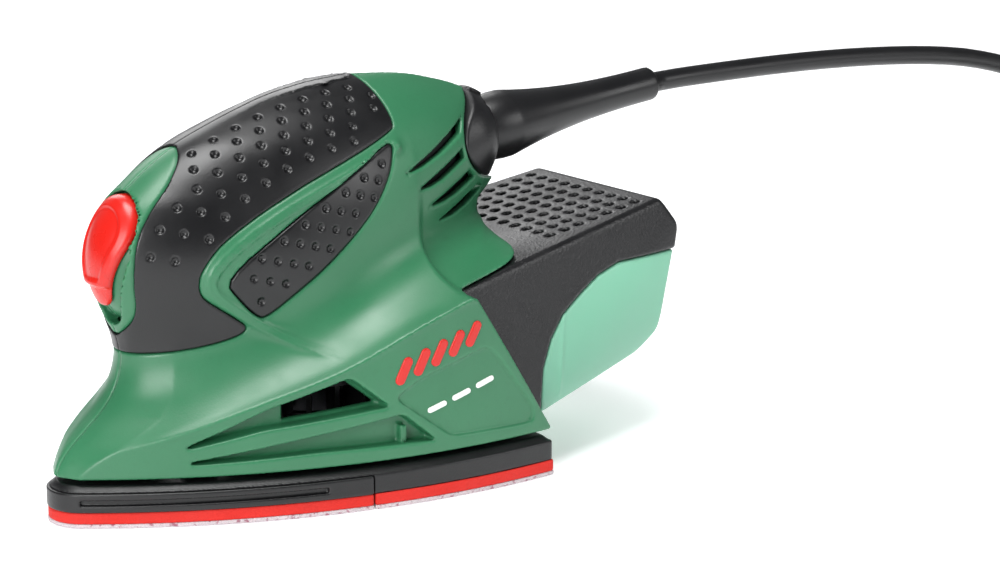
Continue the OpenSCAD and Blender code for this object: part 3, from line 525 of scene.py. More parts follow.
GRIP = [[-80, 120], [-80, 44], [-49, 46], [-34.2, 47.7], [-26, 49.2], [-19.5, 51.2],
        [-18.3, 53.4], [-20.5, 55.4], [-26.2, 59.5], [-31.4, 63.2], [-32.6, 66.9], [-32, 70.6],
        [-28, 76.2], [-22.7, 80.2], [-13.9, 85.1],
        [-4.7, 89.1], [5.2, 93], [34.2, 102.2], [36.2, 103.8], [35.9, 109.6], [34.7, 114.3],
        [32, 120], [-20, 120]]
LEAF = [[-26.2, 68], [-6.2, 81.6], [14.8, 92.2], [30.1, 99.4], [32.9, 99.4],
        [32.9, 97], [29.6, 90.2], [23.2, 82.1], [14.7, 74.9], [5.8, 68], [-3.4, 61.8],
        [-13.3, 54.9], [-16.1, 56.1], [-20.8, 61]]
VENTS = [[[35, 89.9], [66.2, 101.8], [63.2, 97.4], [51.6, 93.4]],
         [[40.1, 84.6], [63, 93.4], [64, 90.2], [52.2, 86]],
         [[45.5, 78.9], [66, 86.2], [69.5, 83.6], [59.2, 80.4]],
         [[50.4, 73.6], [72.5, 80.8], [76.5, 78.9], [65.3, 75.3]]]
UPPER_WINDOW = [[-40.8, 22.5], [-20, 32.1], [2.8, 39.2], [14.7, 29.3], [-20.9, 26.1], [-39.6, 21.9]]
LOWER_WINDOW = [[-39.9, 18.1], [-11.7, 22.6], [18.4, 26.7], [29, 17.5], [-6.3, 18.2], [-39, 17.2]]
WINDOW_OPENING = [[-13.5, 19.5], [-13.5, 45], [21, 45], [21, 19.5]]
NAME_RECESS = [[16.5, 32], [23.4, 36.1], [44.9, 42.7], [47.8, 41.3], [63, 21], [62.2, 17.3],
               [33.7, 17.9], [17.2, 30.4]]
CAP_OUTLINE = [[76, 120], [76, 109.5], [73.4, 106.8], [70.1, 103.6], [66.7, 100.3],
               [64.9, 96.4],
               [64.4, 92.4], [66.7, 87.7], [73.2, 82.8], [84, 79.5], [97, 77.5], [97, 120]]
BEZEL = [[0, 51.5], [2.4, 52.6], [7.2, 56.1], [9.8, 60.6], [11.4, 69.4], [11.9, 76.1], [11.6, 83],
         [10.7, 89.7], [9.1, 95.7], [5.8, 100.5], [0, 103]]
RIDGE = [[34, 98.6], [10, 91.2], [-8, 84.6], [-20, 78.4], [-27.5, 72.4], [-30.4, 67.2],
         [-27.5, 62.4], [-20.5, 57.2], [-12.5, 51.6], [-5, 47.6], [2, 44.6]]
BAY_LOW = np.array([70.2, SKIRT_Z])
BAY_HIGH = np.array([42.4, 57.6])
SLANT = math.atan2(BAY_HIGH[1] - BAY_LOW[1], BAY_HIGH[0] - BAY_LOW[0])
PORT = (BAY_LOW + BAY_HIGH) / 2

along = np.array([math.cos(SLANT), math.sin(SLANT)])
foot_low = BAY_LOW - along * 25
bay = Map(outline_distance([foot_low, BAY_HIGH, [BAY_HIGH[0] - 1, box_top(BAY_HIGH[0])],
                            [140, box_top(140)], [140, foot_low[1]]]))
grip_edge, leaf_edge, cap_edge = (Map(outline_distance(rounded(p))) for p in (GRIP, LEAF, CAP_OUTLINE))
name_edge = Map(outline_distance(filleted(NAME_RECESS, 2.4)))
upper_edge = Map(outline_distance(filleted(UPPER_WINDOW, 1.8)))
lower_edge = Map(outline_distance(filleted(LOWER_WINDOW, 1.8)))
bezel_edge = Map(outline_distance(rounded(BEZEL + [[-y, z] for y, z in BEZEL[-2:0:-1]])))
opening_edge = Map(outline_distance(WINDOW_OPENING))
ridge_line = Map(line_distance(softened(RIDGE)))


def vent_outline(tip, top, low, middle):
    """A slot with a straight upper edge and a bowed lower one."""
    tip, middle = np.array(tip), np.array(middle)
    return [tip, top, low, middle, tip + 0.5 * (middle - tip) + [0.3, -0.5]]


vent_edge = Map(lambda x, z: reduce(np.minimum, [outline_distance(vent_outline(*v))(x, z) for v in VENTS]))


def grip_region(x, y, z):
    """Negative where the front rubber lies: inside its outline and clear of the switch's bezel."""
    return np.maximum(grip_edge(x, z), -bezel_edge(np.abs(y), z))


TRACK = (-32.2, 71.7)
TRACK_R = 23.3
BUTTON_TOP, BUTTON_LOW = 81, 65.5
BUTTON_R = (10.2, 5.2)
TRAVEL = 5


def ring_height(x, y, z):
    """Height above the switch's track, a ring that is crowned from side to side."""
    return np.hypot(x - TRACK[0], z - TRACK[1]) + 0.045 * y * y - TRACK_R


def teardrop(y, z, grown=0.0, down=0.0):
    """Distance in the front view from the button's outline, a round top that narrows downwards."""
    length = BUTTON_TOP - BUTTON_LOW
    lean = (BUTTON_R[0] - BUTTON_R[1]) / length
    rise = math.sqrt(1 - lean * lean)
    side = np.abs(y)

    def single(top):
        height = top - z
        slanted = side * rise + height * lean - BUTTON_R[0]
        upper = np.hypot(side, height) - BUTTON_R[0]
        lower = np.hypot(side, height - length) - BUTTON_R[1]
        t = height * rise - side * lean
        return np.where(t < 0, upper, np.where(t > length * rise, lower, slanted))
    near = single(BUTTON_TOP)
    if down:
        near = np.minimum(near, single(BUTTON_TOP - down))
    return near - grown


def in_front(x):
    """Negative on the nose side, where the ring is the switch's track."""
    return x - (TRACK[0] - 4)


def switch_room(x, y, z, gap):
    """The space in which the button slides."""
    return meet(-2.3 - ring_height(x, y, z), teardrop(y, z, gap, TRAVEL), in_front(x))


def ridge(x, z):
    """Raised rib between the two rubber grips, fading out at its lower end."""
    d = ridge_line(x, z)
    fade = 1 - ease((x + 8) / 12) * ease((58 - z) / 4)
    return fade * (0.9 * np.exp(-(d / 2.0) ** 2) + 0.35 * np.exp(-((d - 0.9) / 0.4) ** 2))


def crease_bead(x, z):
    """Crisp edge along the top of the flat side panel."""
    d = z - smooth(x, CREASE)
    return 0.35 * np.exp(-(d / 0.9) ** 2) * ease((x + 60) / 20)


def window_wall(x, z):
    """Extra thickness of the wall that holds the window recesses."""
    return 5.4 * (1 - ease((np.minimum(upper_edge(x, z), lower_edge(x, z)) - 1.5) / 1.5))


ridge_map = Map(ridge)
crease_map = Map(crease_bead)
extra_wall = Map(window_wall)


def housing_field(x, y, z):
    """Right-hand half of the housing, hollow, with every opening."""
    outer = body(x, y, z)
    solid = cut(outer - ridge_map(x, z) - crease_map(x, z), bay(x, z), 0.9)
    solid = smax(solid, SKIRT_Z - z, 0.9)
    solid = cut(solid, meet(outer + WALL + extra_wall(x, z), WALL - bay(x, z)), 0.6)
    # the switch's seat and the space for its button
    lift = ring_height(x, y, z)
    seat = meet(lift + 2.2, -4.8 - lift, teardrop(y, z, 3, TRAVEL + 2), outer + 0.6, in_front(x))
    solid = cut(smin(solid, seat, 0.5), switch_room(x, y, z, 0.6), 0.5)
    # pockets for the rubber skins, the cap, the name panel and the windows
    for edge, depth, k in ((grip_region(x, y, z), GRIP_DEPTH, 0.45), (leaf_edge(x, z), GRIP_DEPTH, 0.7),
                           (cap_edge(x, z), 100, 0.6), (name_edge(x, z), NAME_DEPTH, 0.5),
                           (upper_edge(x, z), UPPER_DEPTH, 0.5), (lower_edge(x, z), LOWER_DEPTH, 0.5)):
        solid = cut(solid, meet(edge, -outer - depth), k)
    clip = meet(np.abs(x - 19.6) - 0.8, np.abs(z - 20.5) - 2.2, outer + 2.2, -outer - 6)
    solid = smin(solid, clip, 0.4)
    solid = cut(solid, meet(upper_edge(x, z) + 0.6, opening_edge(x, z), 8 - y), 0.5)
    # the vents sink slightly as they go in
    sunk = np.clip(-outer, 0, 6)
    solid = cut(solid, meet(vent_edge(x, z + 0.1 * sunk), 7 - y), 0.45)
    # seats for the rubber legs, wide enough for the orbit
    leg = nearest(x + THROW, np.abs(y), LEGS[1::2])
    solid = cut(solid, np.minimum(meet(leg - 6.3, z - 36.5), meet(leg - 3.8, z - 39.3)), 0.2)
    return smax(solid, 0.05 - y, 0.45)


pair("housing", net(housing_field, (-72, -0.7, 12), (92.5, 52, 118), 0.71), "green_plastic")


# ---- rubber skins ----

def surface_point(x, y, z):
    """Point and outward normal of the housing's surface nearest to a point close to it."""
    p = np.array([x, y, z], float)
    h = 0.1
    # Newton's method
    for _ in range(4):
        value = body(*p)
        slope = np.array([(body(*(p + h * e)) - body(*(p - h * e))) / (2 * h) for e in np.eye(3)])
        p = p - value * slope / max(slope @ slope, 0.2)
    return p, slope / np.linalg.norm(slope)


def dimpled(solid, x, y, z, dimples):
    """Presses a shallow round dimple into a field at each (point, normal)."""
    radius, lift, k = 1.32, 0.5, 0.25
    reach = radius + 0.4
    for point, normal in dimples:
        cx, cy, cz = point + normal * lift
        if x.ndim == 3:
            near = tuple(slice(*np.searchsorted(axis.ravel(), (c - reach, c + reach)))
                         for axis, c in ((x, cx), (y, cy), (z, cz)))
            px, py, pz = x[near[0]], y[:, near[1]], z[:, :, near[2]]
        else:
            near = (np.abs(x - cx) < reach) & (np.abs(y - cy) < reach) & (np.abs(z - cz) < reach)
            px, py, pz = x[near], y[near], z[near]
        ball = np.sqrt((px - cx) ** 2 + (py - cy) ** 2 + (pz - cz) ** 2) - radius
        solid[near] = cut(solid[near], ball, k)
    return solid


def row_points(width, rear_x, anchor_x, spacing=7.9):
    """Points along the grip at a given half width, a fixed way apart, with one at anchor_x."""
    angles = np.radians(np.arange(50, 190, 0.5))
    near, far = 5, 75
    # halve the interval on each ray from the grip's middle
    for _ in range(24):
        r = (near + far) / 2
        x, z = 10 + r * np.cos(angles), 60 + r * np.sin(angles)
        wide = width * (1 - 0.00002 * (x + 8) ** 2)
        inner = (half_width(x, z) > wide) & (x > smooth(z, FRONT_EDGE)) & (z < TOP_Z - 0.1)
        near, far = np.where(inner, r, near), np.where(inner, far, r)
    points = np.stack([x, wide, z], 1)
    points = points[x <= rear_x + 1.5]
    way = np.concatenate([[0], np.cumsum(np.linalg.norm(np.diff(points, axis=0), axis=1))])
    high = points[:, 2] > 80
    anchor = np.interp(-anchor_x, -points[high, 0], way[high])
    stops = np.arange(anchor % spacing, way[-1], spacing)
    return np.stack([np.interp(stops, way, points[:, i]) for i in range(3)], 1)


# half width, rear end and anchor of each row of dimples
ROWS = [(7.6, 28.2, -11.5), (11.4, 33.3, -13.6), (14.9, 30.5, -15.3), (18, 27.3, -16.6), (20.7, 32, -17.4),
        (23, 29.7, -17.7)]
grip_dimples = [surface_point(*p) for row in ROWS for p in row_points(*row)
                if p[2] > 72.5 and float(grip_region(*p)) < -2]


def leaf_lattice():
    """Slanted rows of dimples on the leaf-shaped side grip."""
    for k in range(9):
        for j in range(5):
            x = 27.5 - 7.1 * k + 4.85 * j
            z = 94.4 - 3.66 * k + 0.1 * k * (7 - k) - 1.3 * j
            if float(leaf_edge(x, z)) < -2 and (k < 8 or j > 1):
                yield surface_point(x, float(half_width(x, z)), z)


leaf_dimples = list(leaf_lattice())


def rubber_field(region, proud, dimples):
    """Field of a dimpled skin in its pocket, standing proud of the housing."""
    moved = [(p + proud * n, n) for p, n in dimples]

    def field(x, y, z):
        outer = body(x, y, z)
        solid = smax(outer - proud, region(x, y, z) + 0.22, 0.8)
        solid = smax(solid, 0.05 - GRIP_DEPTH - outer, 0.3)
        if region is grip_region:
            solid = cut(solid, switch_room(x, y, z, 0.8), 0.4)
        solid = smax(solid, 0.04 - y, 0.25)
        return dimpled(np.array(np.broadcast_to(solid, np.broadcast(x, y, z).shape)), x, y, z, moved)
    return field


def leaf_region(x, y, z):
    return leaf_edge(x, z)


grip_field = rubber_field(grip_region, 0.3, grip_dimples)
side_grip_field = rubber_field(leaf_region, 0.15, leaf_dimples)
pair("grip", net(grip_field, (-58, -0.7, 44), (39, 38, 118.5), 0.42), "black_rubber")
pair("side_grip", net(side_grip_field, (-28, 12, 53), (35, 40, 101), 0.4), "black_rubber")


# ---- rear cap and sleeve ----

SLEEVE_START = np.array([84, 0, 94.5])
SLEEVE_END = np.array([149, 0, 100.8])
SLEEVE_TILT = math.radians(5.5)
sleeve_axis = np.array([math.cos(SLEEVE_TILT), 0, math.sin(SLEEVE_TILT)])
sleeve_length = float(np.linalg.norm(SLEEVE_END - SLEEVE_START))


def cap_field(x, y, z):
    """Hollow ball joint behind the grip, with a dark screen behind the vents on both sides that stands in for
    the shade inside the housing.
    """
    skin = body(x, y, z)
    ball = np.sqrt((x - 70.1) ** 2 + y * y + (z - 93.2) ** 2) - 14.8
    outer = smin(np.maximum(skin - 0.3, x - 80), ball, 2.5)
    solid = smax(outer, cap_edge(x, z) + 0.25, 1.0)
    solid = smax(solid, -3.1 - outer, 0.4)
    # a bore and a wider ring for the sleeve, and a notch beside it
    dx, dz = x - SLEEVE_START[0], z - SLEEVE_START[2]
    way = dx * sleeve_axis[0] + dz * sleeve_axis[2]
    off = np.hypot(y, dz * sleeve_axis[0] - dx * sleeve_axis[2])
    solid = cut(solid, off - 8.6, 0.4)
    solid = cut(solid, meet(off - 10.5, -way - 5.2), 0.5)
    solid = cut(solid, meet(np.abs(y + 6.4) - 0.6, off - 11.6, 97 - z), 0.3)
    # painted shade: a dark sheet behind the vents that stands in for the shade inside the housing
    screen = meet(np.abs(skin + 4.1) - 0.6, vent_edge(x, z) - 2, 1 - bay(x, z), 7 - np.abs(y), x - 78)
    return smin(solid, screen, 0.3)


piece("rear_cap_skin", net(cap_field, (32, -42, 68), (92.5, 42, 112), 0.45), "black_plastic", "housing",
      ["rear_cap"])


def joined(rings, sides):
    """Quads between neighbouring rings of points."""
    pairs = [(i, (i + 1) % sides) for i in range(sides)]
    starts = range(0, (rings - 1) * sides, sides)
    return [(a + i, a + j, a + j + sides, a + i + sides) for a in starts for i, j in pairs]


def circle(u, w, sides):
    angles = np.arange(sides) * 2 * math.pi / sides
    return np.cos(angles)[:, None] * u + np.sin(angles)[:, None] * w


def lathe(profile, origin, axis, sides=96):
    """Surface of revolution of (way along the axis, radius) pairs, closed where a radius is 0."""
    u = np.cross(axis, (0, 1, 0))
    ring = circle(u, np.cross(axis, u), sides)
    points = np.concatenate([np.asarray(origin) + t * np.asarray(axis) + r * ring for t, r in profile])
    return points, joined(len(profile), sides)


def make_sleeve():
    """Tapered strain relief with a rounded mouth, bored for the cord."""
    bore, inner_end, shoulder, steps = 3.25, -11.8, 1.7, 60
    mouth = sleeve_length - 1.5
    profile = [(inner_end, bore), (inner_end, 6.8), (-11, 7.4), (-9, 8.3), (-4.6, 8.4), (-4.2, 9.4),
               (-3.2, 9.9), (shoulder, 10.2)]
    for i in range(1, steps + 1):
        t = i / steps
        profile.append((shoulder + (mouth - shoulder) * t, min(10.3, 5.2 + 6.1 * (1 - t) ** 2.4)))
    profile += [(mouth + 1.4 * math.sin(a), 3.9 + 1.3 * math.cos(a)) for a in np.radians([25, 50, 75, 90])]
    profile += [(mouth + 1.1, 3.5), (mouth + 0.4, bore), (mouth - 6, bore), (inner_end, bore)]
    points, faces = lathe(profile, SLEEVE_START, sleeve_axis)
    # the moulding's parting line, a fine raised seam along the top and the bottom
    off = points - SLEEVE_START
    off = off - (off @ sleeve_axis)[:, None] * sleeve_axis
    radius = np.linalg.norm(off, axis=1)
    rise = 0.12 * np.exp(-(points[:, 1] / 0.3) ** 2) * (radius > 4.5)
    return piece("strain_relief", (points + (rise / radius)[:, None] * off, faces), "black_rubber", "housing",
                 ["cord_sleeve"])


sleeve = make_sleeve()


# ---- cord, coil and plug ----

CORD_D = 6.2
CORD_R = CORD_D / 2
COIL = (416, -30)
PITCH = CORD_D + 0.1
FLOOR = 0.8
INNER = 28.5
OUTER = INNER + 3 * PITCH
CORD_ROUTE = [[149, 0, 100.8], [160, 0, 101.1], [175, 0, 101.1], [195, 0, 100.9],
              [215, 0, 100.4], [235, 0, 99.5], [255, 0, 98.1], [273, 0, 96.3], [290, 0, 93.8],
              [305, 0, 90.4], [313, 0, 87.8], [322.5, 0, 83.4], [331, 0.5, 77.6], [338, 1.5, 71.2],
              [351.5, 4.4, 56.4], [365, 8.1, 41.7], [378.5, 11.9, 27.2], [384, 13.4, 22], [391, 15, 17],
              [399, 16.4, 13.2], [407, 17.2, 11], [416, 17.4, 10.2]]


def catmull(points):
    """Smooth line through the points, with one more between each two."""
    p = np.array(points, float)
    line = []
    for a, b, c, d in zip([p[0], *p], p, p[1:], [*p[2:], p[-1]]):
        line += [b, (9 * (b + c) - a - d) / 16]
    return line + [p[-1]]


def round_coil(degrees, radius, height):
    a = math.radians(degrees)
    return [COIL[0] + radius * math.cos(a), COIL[1] + radius * math.sin(a), height]


def coil_points():
    """Top layer from the outer column inwards, then the bottom layer outwards, clockwise from above."""
    turns, step, width = 7, 6, 120
    inward, drop, outward = [235, 595, 955], 1270, [1585, 1945, 2305]
    line = []
    for turned in range(step, turns * 360, step):
        moved_in, moved_out = (sum(ease((turned - t) / width) for t in starts) for starts in (inward, outward))
        height = FLOOR + CORD_R + PITCH * (1 - ease((turned - drop) / width))
        line.append(round_coil(90 - turned, OUTER + PITCH * (moved_out - moved_in), height))
    return line


def tail_points():
    """Half a turn along the outside of the coil, then straight into the plug."""
    line = [round_coil(90 - 20 * i, OUTER + PITCH * ease(i / 3), FLOOR + CORD_R) for i in range(10)]
    return line + [[COIL[0] - 12, COIL[1] - OUTER - PITCH, 4.6], [COIL[0] - 26, COIL[1] - OUTER - PITCH, 6.6]]


def tube(line, radius, sides=20):
    """Round tube along a line, closed at both ends."""
    p = np.array(line)
    ahead = np.gradient(p, axis=0)
    ahead /= np.linalg.norm(ahead, axis=1)[:, None]
    u = np.cross(ahead[0], (0, 0, 1.0))
    rings = []
    for point, f in zip(p, ahead):
        u = u - (u @ f) * f
        u /= np.linalg.norm(u)
        rings.append(point + radius * circle(u, np.cross(u, f), sides))
    last = (len(p) - 1) * sides
    ends = [tuple(range(sides)), tuple(range(last, last + sides))[::-1]]
    return np.concatenate(rings), joined(len(p), sides) + ends


cord_line = catmull(CORD_ROUTE + coil_points() + tail_points())
cord = piece("mains_cord", tube(cord_line, CORD_R), "cord_rubber", "housing",
             ["cord", "cord_coil", "cord_tail"])


PLUG = np.array([COIL[0] - 26, COIL[1] - OUTER - PITCH, 7.1])


def plug_field(x, y, z):
    """Flat two-pin plug with a waisted body and a ribbed neck."""
    px, py, pz = x - PLUG[0], np.abs(y - PLUG[1]), np.abs(z - PLUG[2])
    half = 17.3 - 3.9 * ease((px + 34) / 20)
    solid = smax(smax(py - half, pz - 6.7, 3.2), between(px, -36.3, -11.8, 1.0), 2.4)
    grips = smax(np.abs(((px + 30) % 3.2) - 1.6) - 0.55, np.abs(px + 23) - 7.6, 0.4)
    solid = cut(solid, smax(grips, half - 0.7 - py, 0.4), 0.5)
    off = np.hypot(py, pz)
    neck = smax(off - (4.3 - 2.1 * np.clip(px, -14, 0) / 15), between(px, -16, -0.05, 0.5), 0.8)
    slots = smax(np.abs(((px + 11) % 3.0) - 1.5) - 0.45, np.maximum(np.abs(px + 6) - 4.6, 4.0 - off), 0.3)
    return cut(smin(solid, neck, 1.4), slots, 0.3)


plug = piece("plug_housing", net(plug_field, PLUG - [38, 19, 8], PLUG + [2, 19, 8], 0.5), "cord_rubber",
             "housing", ["plug_body"])


def make_pins():
    """Two round pins, sleeved for the first half of their length."""
    profile = [(0, 0), (0, 2), (9.8, 2), (10, 1.9), (17.6, 1.9), (18.4, 1.6), (18.9, 0.9), (19, 0)]
    (near, faces), (far, _) = (lathe(profile, PLUG + [-36.5, y, 0], (-1, 0, 0), 40) for y in (-9.3, 9.3))
    both = faces + [tuple(i + len(near) for i in face) for face in faces]
    return piece("plug_contacts", (np.concatenate([near, far]), both), "nickel", "housing", ["plug_pins"])


pins = make_pins()


def make_tie():
    """Ribbed band round the coil."""
    start, sweep, steps = 196.6, 10.8, 40
    thick, bend, inner_bend = 0.72, 1.4, 0.75
    low, high = INNER - CORD_R - thick, OUTER + CORD_R + thick
    floor, top = FLOOR - thick, FLOOR + 2 * CORD_R + PITCH + thick
    corners = [(r, z, math.radians(a0 + 15 * i)) for r, z, a0 in (
        (high - bend, floor + bend, -90), (high - bend, top - bend, 0),
        (low + bend, top - bend, 90), (low + bend, floor + bend, 180)) for i in range(7)]
    points = []
    for i in range(steps + 1):
        rib = 0.06 * math.cos(i * math.pi / 2.5)
        for r, z, a in corners:
            out_r, out_z = 1 if 2 * r > low + high else -1, 1 if 2 * z > floor + top else -1
            r, z = r + bend * math.cos(a) + rib * out_r, z + bend * math.sin(a) + rib * out_z
            points.append(round_coil(start + sweep * i / steps, r, max(z, 0.02)))
        for r, z, a in corners[::-1]:
            r, z = r + inner_bend * math.cos(a), z + inner_bend * math.sin(a)
            points.append(round_coil(start + sweep * i / steps, r, max(z, 0.02)))
    half, n = len(corners), 2 * len(corners)
    pairs = [(i, (i + 1) % half) for i in range(half)]
    faces = []
    for k in range(steps):
        for first in (k * n, k * n + half):
            faces += [(first + i, first + j, first + j + n, first + i + n) for i, j in pairs]
    for k in (0, steps * n):
        quads = [(k + i, k + n - 1 - i, k + n - 1 - j, k + j) for i, j in pairs]
        faces += quads if k == 0 else [q[::-1] for q in quads]
    return piece("cord_tie", (np.array(points), faces), "black_plastic", "housing", ["coil_tie"])


tie = make_tie()
tuple(np.array(CORD_ROUTE[0]) * MM)


# ---- switch ----

def button_field(x, y, z):
    """Crowned teardrop with a raised rim round a dish, and a lower tongue."""
    lift = ring_height(x, y, z)
    edge = teardrop(y, z)
    inner = teardrop(y, z, -2.2)
    dish = 0.8 * ease(-inner / 1.6) * ease((z - 67.5) / 2)
    tongue = 1.2 * ease((67.2 - z) / 1.2)
    solid = smax(lift - 0.75 + dish + tongue, edge + 0.1, 1.0)
    return np.maximum(smax(solid, -1.55 - lift, 0.4), in_front(x))


piece("switch_cap", net(button_field, (-60, -11.5, 58.5), (-34, 11.5, 92.5), 0.32), "red_plastic",
      "switch", ["switch_button"])


# ---- generic side marks ----

def marks(name, bars, radius, low_side, high_side, slot, box):
    """Round-ended bars on both sides, between two heights over the housing's surface."""
    lines = [line_distance(bar) for bar in bars]
    edge = Map(lambda x, z: reduce(np.minimum, [line(x, z) for line in lines]) - radius)

    def field(x, y, z):
        outer = body(x, y, z)
        return smax(smax(outer - high_side, edge(x, z), 0.35), low_side - outer, 0.2)
    right = net(field, *box, 0.3)
    left = mirrored(right)
    both = np.concatenate([right[0], left[0]]), np.concatenate([right[1], left[1] + len(right[0])])
    piece(f"{name}_raised", both, slot, "housing", [name])


BARS = [([17.2 + 5.6 * i, 36.8 + 2.05 * i], [19.6 + 5.6 * i, 41.9 + 1.9 * i]) for i in range(5)]
STRIPS = [([27 + 8 * i, 26.5 + 2.5 * i], [31.5 + 8 * i, 27.9 + 2.5 * i]) for i in range(3)]
marks("side_bars", BARS, 1.45, -0.3, 0.45, "red_plastic", ((13, 30, 32), (46, 52, 54)))
marks("side_strips", STRIPS, 0.85, -0.95, -0.35, "white_plastic", ((24, 36, 23), (51, 52, 36)))


# ---- dust box ----

BOX_CORNERS = [[48.1, 36.2, 55.1], [70.9, 42.3, 20], [127, 27.8, 68.6], [131.8, 28.8, 62.2],
               [123.5, 30.5, 32.6], [116.6, 31, 28.2]]
BOX_ROUND = 3
BOX_WALL = 2
FRAME_CURVE = [[69.6, 18], [69.8, 21], [72.1, 30], [76.7, 37.9], [82.7, 44.2], [90.4, 48.8],
               [98.6, 53.1], [111.8, 56.7], [130.5, 61], [137, 62.4]]


def hull_planes(corners):
    """Planes (normal, way from the origin) round the convex hull of the corners on both sides."""
    p = np.array([[x, s * y, z] for x, y, z in corners for s in (-1, 1)], float)
    planes = []
    for a, b, c in combinations(p, 3):
        normal = np.cross(b - a, c - a)
        normal /= np.linalg.norm(normal)
        for outward in (normal, -normal):
            plane = np.append(outward, outward @ a)
            if ((p - a) @ outward).max() < 1e-6 and not any(np.abs(plane - q).max() < 1e-4 for q in planes):
                planes.append(plane)
    return planes


box_planes = hull_planes(BOX_CORNERS)


def box_field(x, y, z):
    """Distance from the dust box's outer surface."""
    gaps = [a * x + b * y + c * z - d - BOX_ROUND for a, b, c, d in box_planes]
    return reduce(lambda a, b: smax(a, b, 1.8), gaps)


frame_edge = Map(outline_distance([[68.6, 8]] + FRAME_CURVE + [[150, 64], [150, 95], [20, 95], [20, 8]]))


def top_plane(x, z):
    """Height above the tilted top of the box."""
    return (z - box_top(x)) * math.cos(BOX_TILT)


def grille(x, y, z):
    """Distance from the nearest of the round holes in the tilted top."""
    pitch, hole = 5.6, 1.45
    way = (x - 105) / math.cos(BOX_TILT) + (z - box_top(x)) * math.sin(BOX_TILT)
    i = np.clip(np.round(way / pitch), -3, 3)
    j = np.clip(np.round(y / pitch - 0.5), -5, 4) + 0.5
    return np.hypot(way - i * pitch, y - j * pitch) - hole


def port_parts(x, y, z):
    """Way along and off the axis of the dust port, square to the sloping wall."""
    ax, az = -math.sin(SLANT), math.cos(SLANT)
    way = (x - PORT[0]) * ax + (z - PORT[1]) * az
    off = np.hypot(y, (z - PORT[1]) * ax - (x - PORT[0]) * az)
    return way, off


def dust_frame_field(x, y, z):
    outer = box_field(x, y, z)
    solid = smax(outer, frame_edge(x, z) + 0.2, 0.7)
    solid = cut(solid, outer + BOX_WALL, 0.5)
    solid = cut(solid, np.maximum(grille(x, y, z), -5 - top_plane(x, z)), 0.35)
    way, off = port_parts(x, y, z)
    return cut(solid, np.maximum(off - 9, np.abs(way) - 8), 0.4)


def container_field(x, y, z):
    rib = np.exp(-((x - 80.3 - 0.234 * (z - 34)) / 0.8) ** 2) * ease((np.abs(y) - 30) / 3) * ease((z - 19) / 4)
    outer = box_field(x, y, z) + 0.4 - 0.35 * rib
    return cut(smax(outer, 0.2 - frame_edge(x, z), 0.7), outer + BOX_WALL - 0.4 + rib, 0.5)


piece("dust_frame_shell", net(dust_frame_field, (42, -47, 14), (137, 47, 76), 0.62), "dark_plastic",
      "dust_box", ["dust_frame"])
piece("dust_container_shell", net(container_field, (66, -47, 14), (137, 47, 66), 0.62), "mint_plastic",
      "container", ["dust_container"])


# ---- sanding plate ----

PLATE_REAR = 70.5
SPLIT_X = 17.5
TIP_R = 11
SHEET_T = 1.2
PAD_TOP = SHEET_T + 3.3
PLATE_TOP = 12
tip_x = SIDE_CENTRE[0] - math.sqrt((SIDE_RADIUS - TIP_R) ** 2 - SIDE_CENTRE[1] ** 2)
MOTOR_X = 18
DELTA_SCREW_X = -8


def plan(x, y):
    """Distance in plan from the sanding plate's outline."""
    side = np.abs(y)
    reach = np.hypot(x - SIDE_CENTRE[0], side + SIDE_CENTRE[1])
    foot = -SIDE_CENTRE[1] + (SIDE_RADIUS - TIP_R) * (side + SIDE_CENTRE[1]) / reach
    on_side = (foot >= 0) | (x > SIDE_CENTRE[0])
    to_arc = np.where(on_side, reach - SIDE_RADIUS + TIP_R, np.hypot(x - tip_x, side))
    return smax(to_arc - TIP_R, x - PLATE_REAR, 1.6)


def split(x, y):
    """Negative on the tip's side of the curved joint."""
    radius = 118
    return np.hypot(x - SPLIT_X + radius, y) - radius


def pad_holes(x, y):
    return nearest(x, np.abs(y), [(-24, 22), (-2, 30), (24, 34), (44, 34), (60, 34)]) - 4


def carrier_field(x, y, z):
    """Black plate with the eccentric's hub, a step for the tip and pits for the legs."""
    edge = plan(x, y) + 0.6
    top = PLATE_TOP - 1.6 * ease((edge + 2.6) / 2.4)
    solid = smax(smax(edge, z - top, 0.5), PAD_TOP - z, 0.4)
    hub = np.hypot(x - MOTOR_X - THROW, y)
    solid = smin(solid, smax(hub - 14, between(z, PLATE_TOP - 2, 21, 0.5), 0.6), 1.2)
    leg = nearest(x, y, LEGS)
    for tool in ((hub - 11, 14 - z), (hub - 7, 12.3 - z), (split(x, y), z - 10.05), (leg - 3.2, z - 10.3)):
        solid = cut(solid, meet(*tool), 0.3)
    return solid


def tip_field(x, y, z):
    """Delta tip with the long groove along its sides."""
    edge = plan(x, y)
    solid = smax(smax(edge, split(x, y) + 0.25, 0.6), between(z, PAD_TOP + 0.02, 9.96, 0.5), 0.5)
    groove = smax(between(z, 6.5, 8.2, 0.3), -1.2 - edge, 0.3)
    groove = smax(groove, between(x, -66, -4.5, 0.5), 0.4)
    screw = np.hypot(x - DELTA_SCREW_X, y)
    for tool in (groove, meet(screw - 4.2, z - 6.4), nearest(x, y, LEGS[:2]) - 3.4):
        solid = cut(solid, tool, 0.3)
    return solid


def ragged(x, y):
    """Torn fibres along a cut edge."""
    return 0.14 * np.sin(2.3 * x + 1.7 * y) * np.sin(0.9 * x - 1.3 * y + 1) + 0.08 * np.sin(5.1 * x + 3.7 * y)


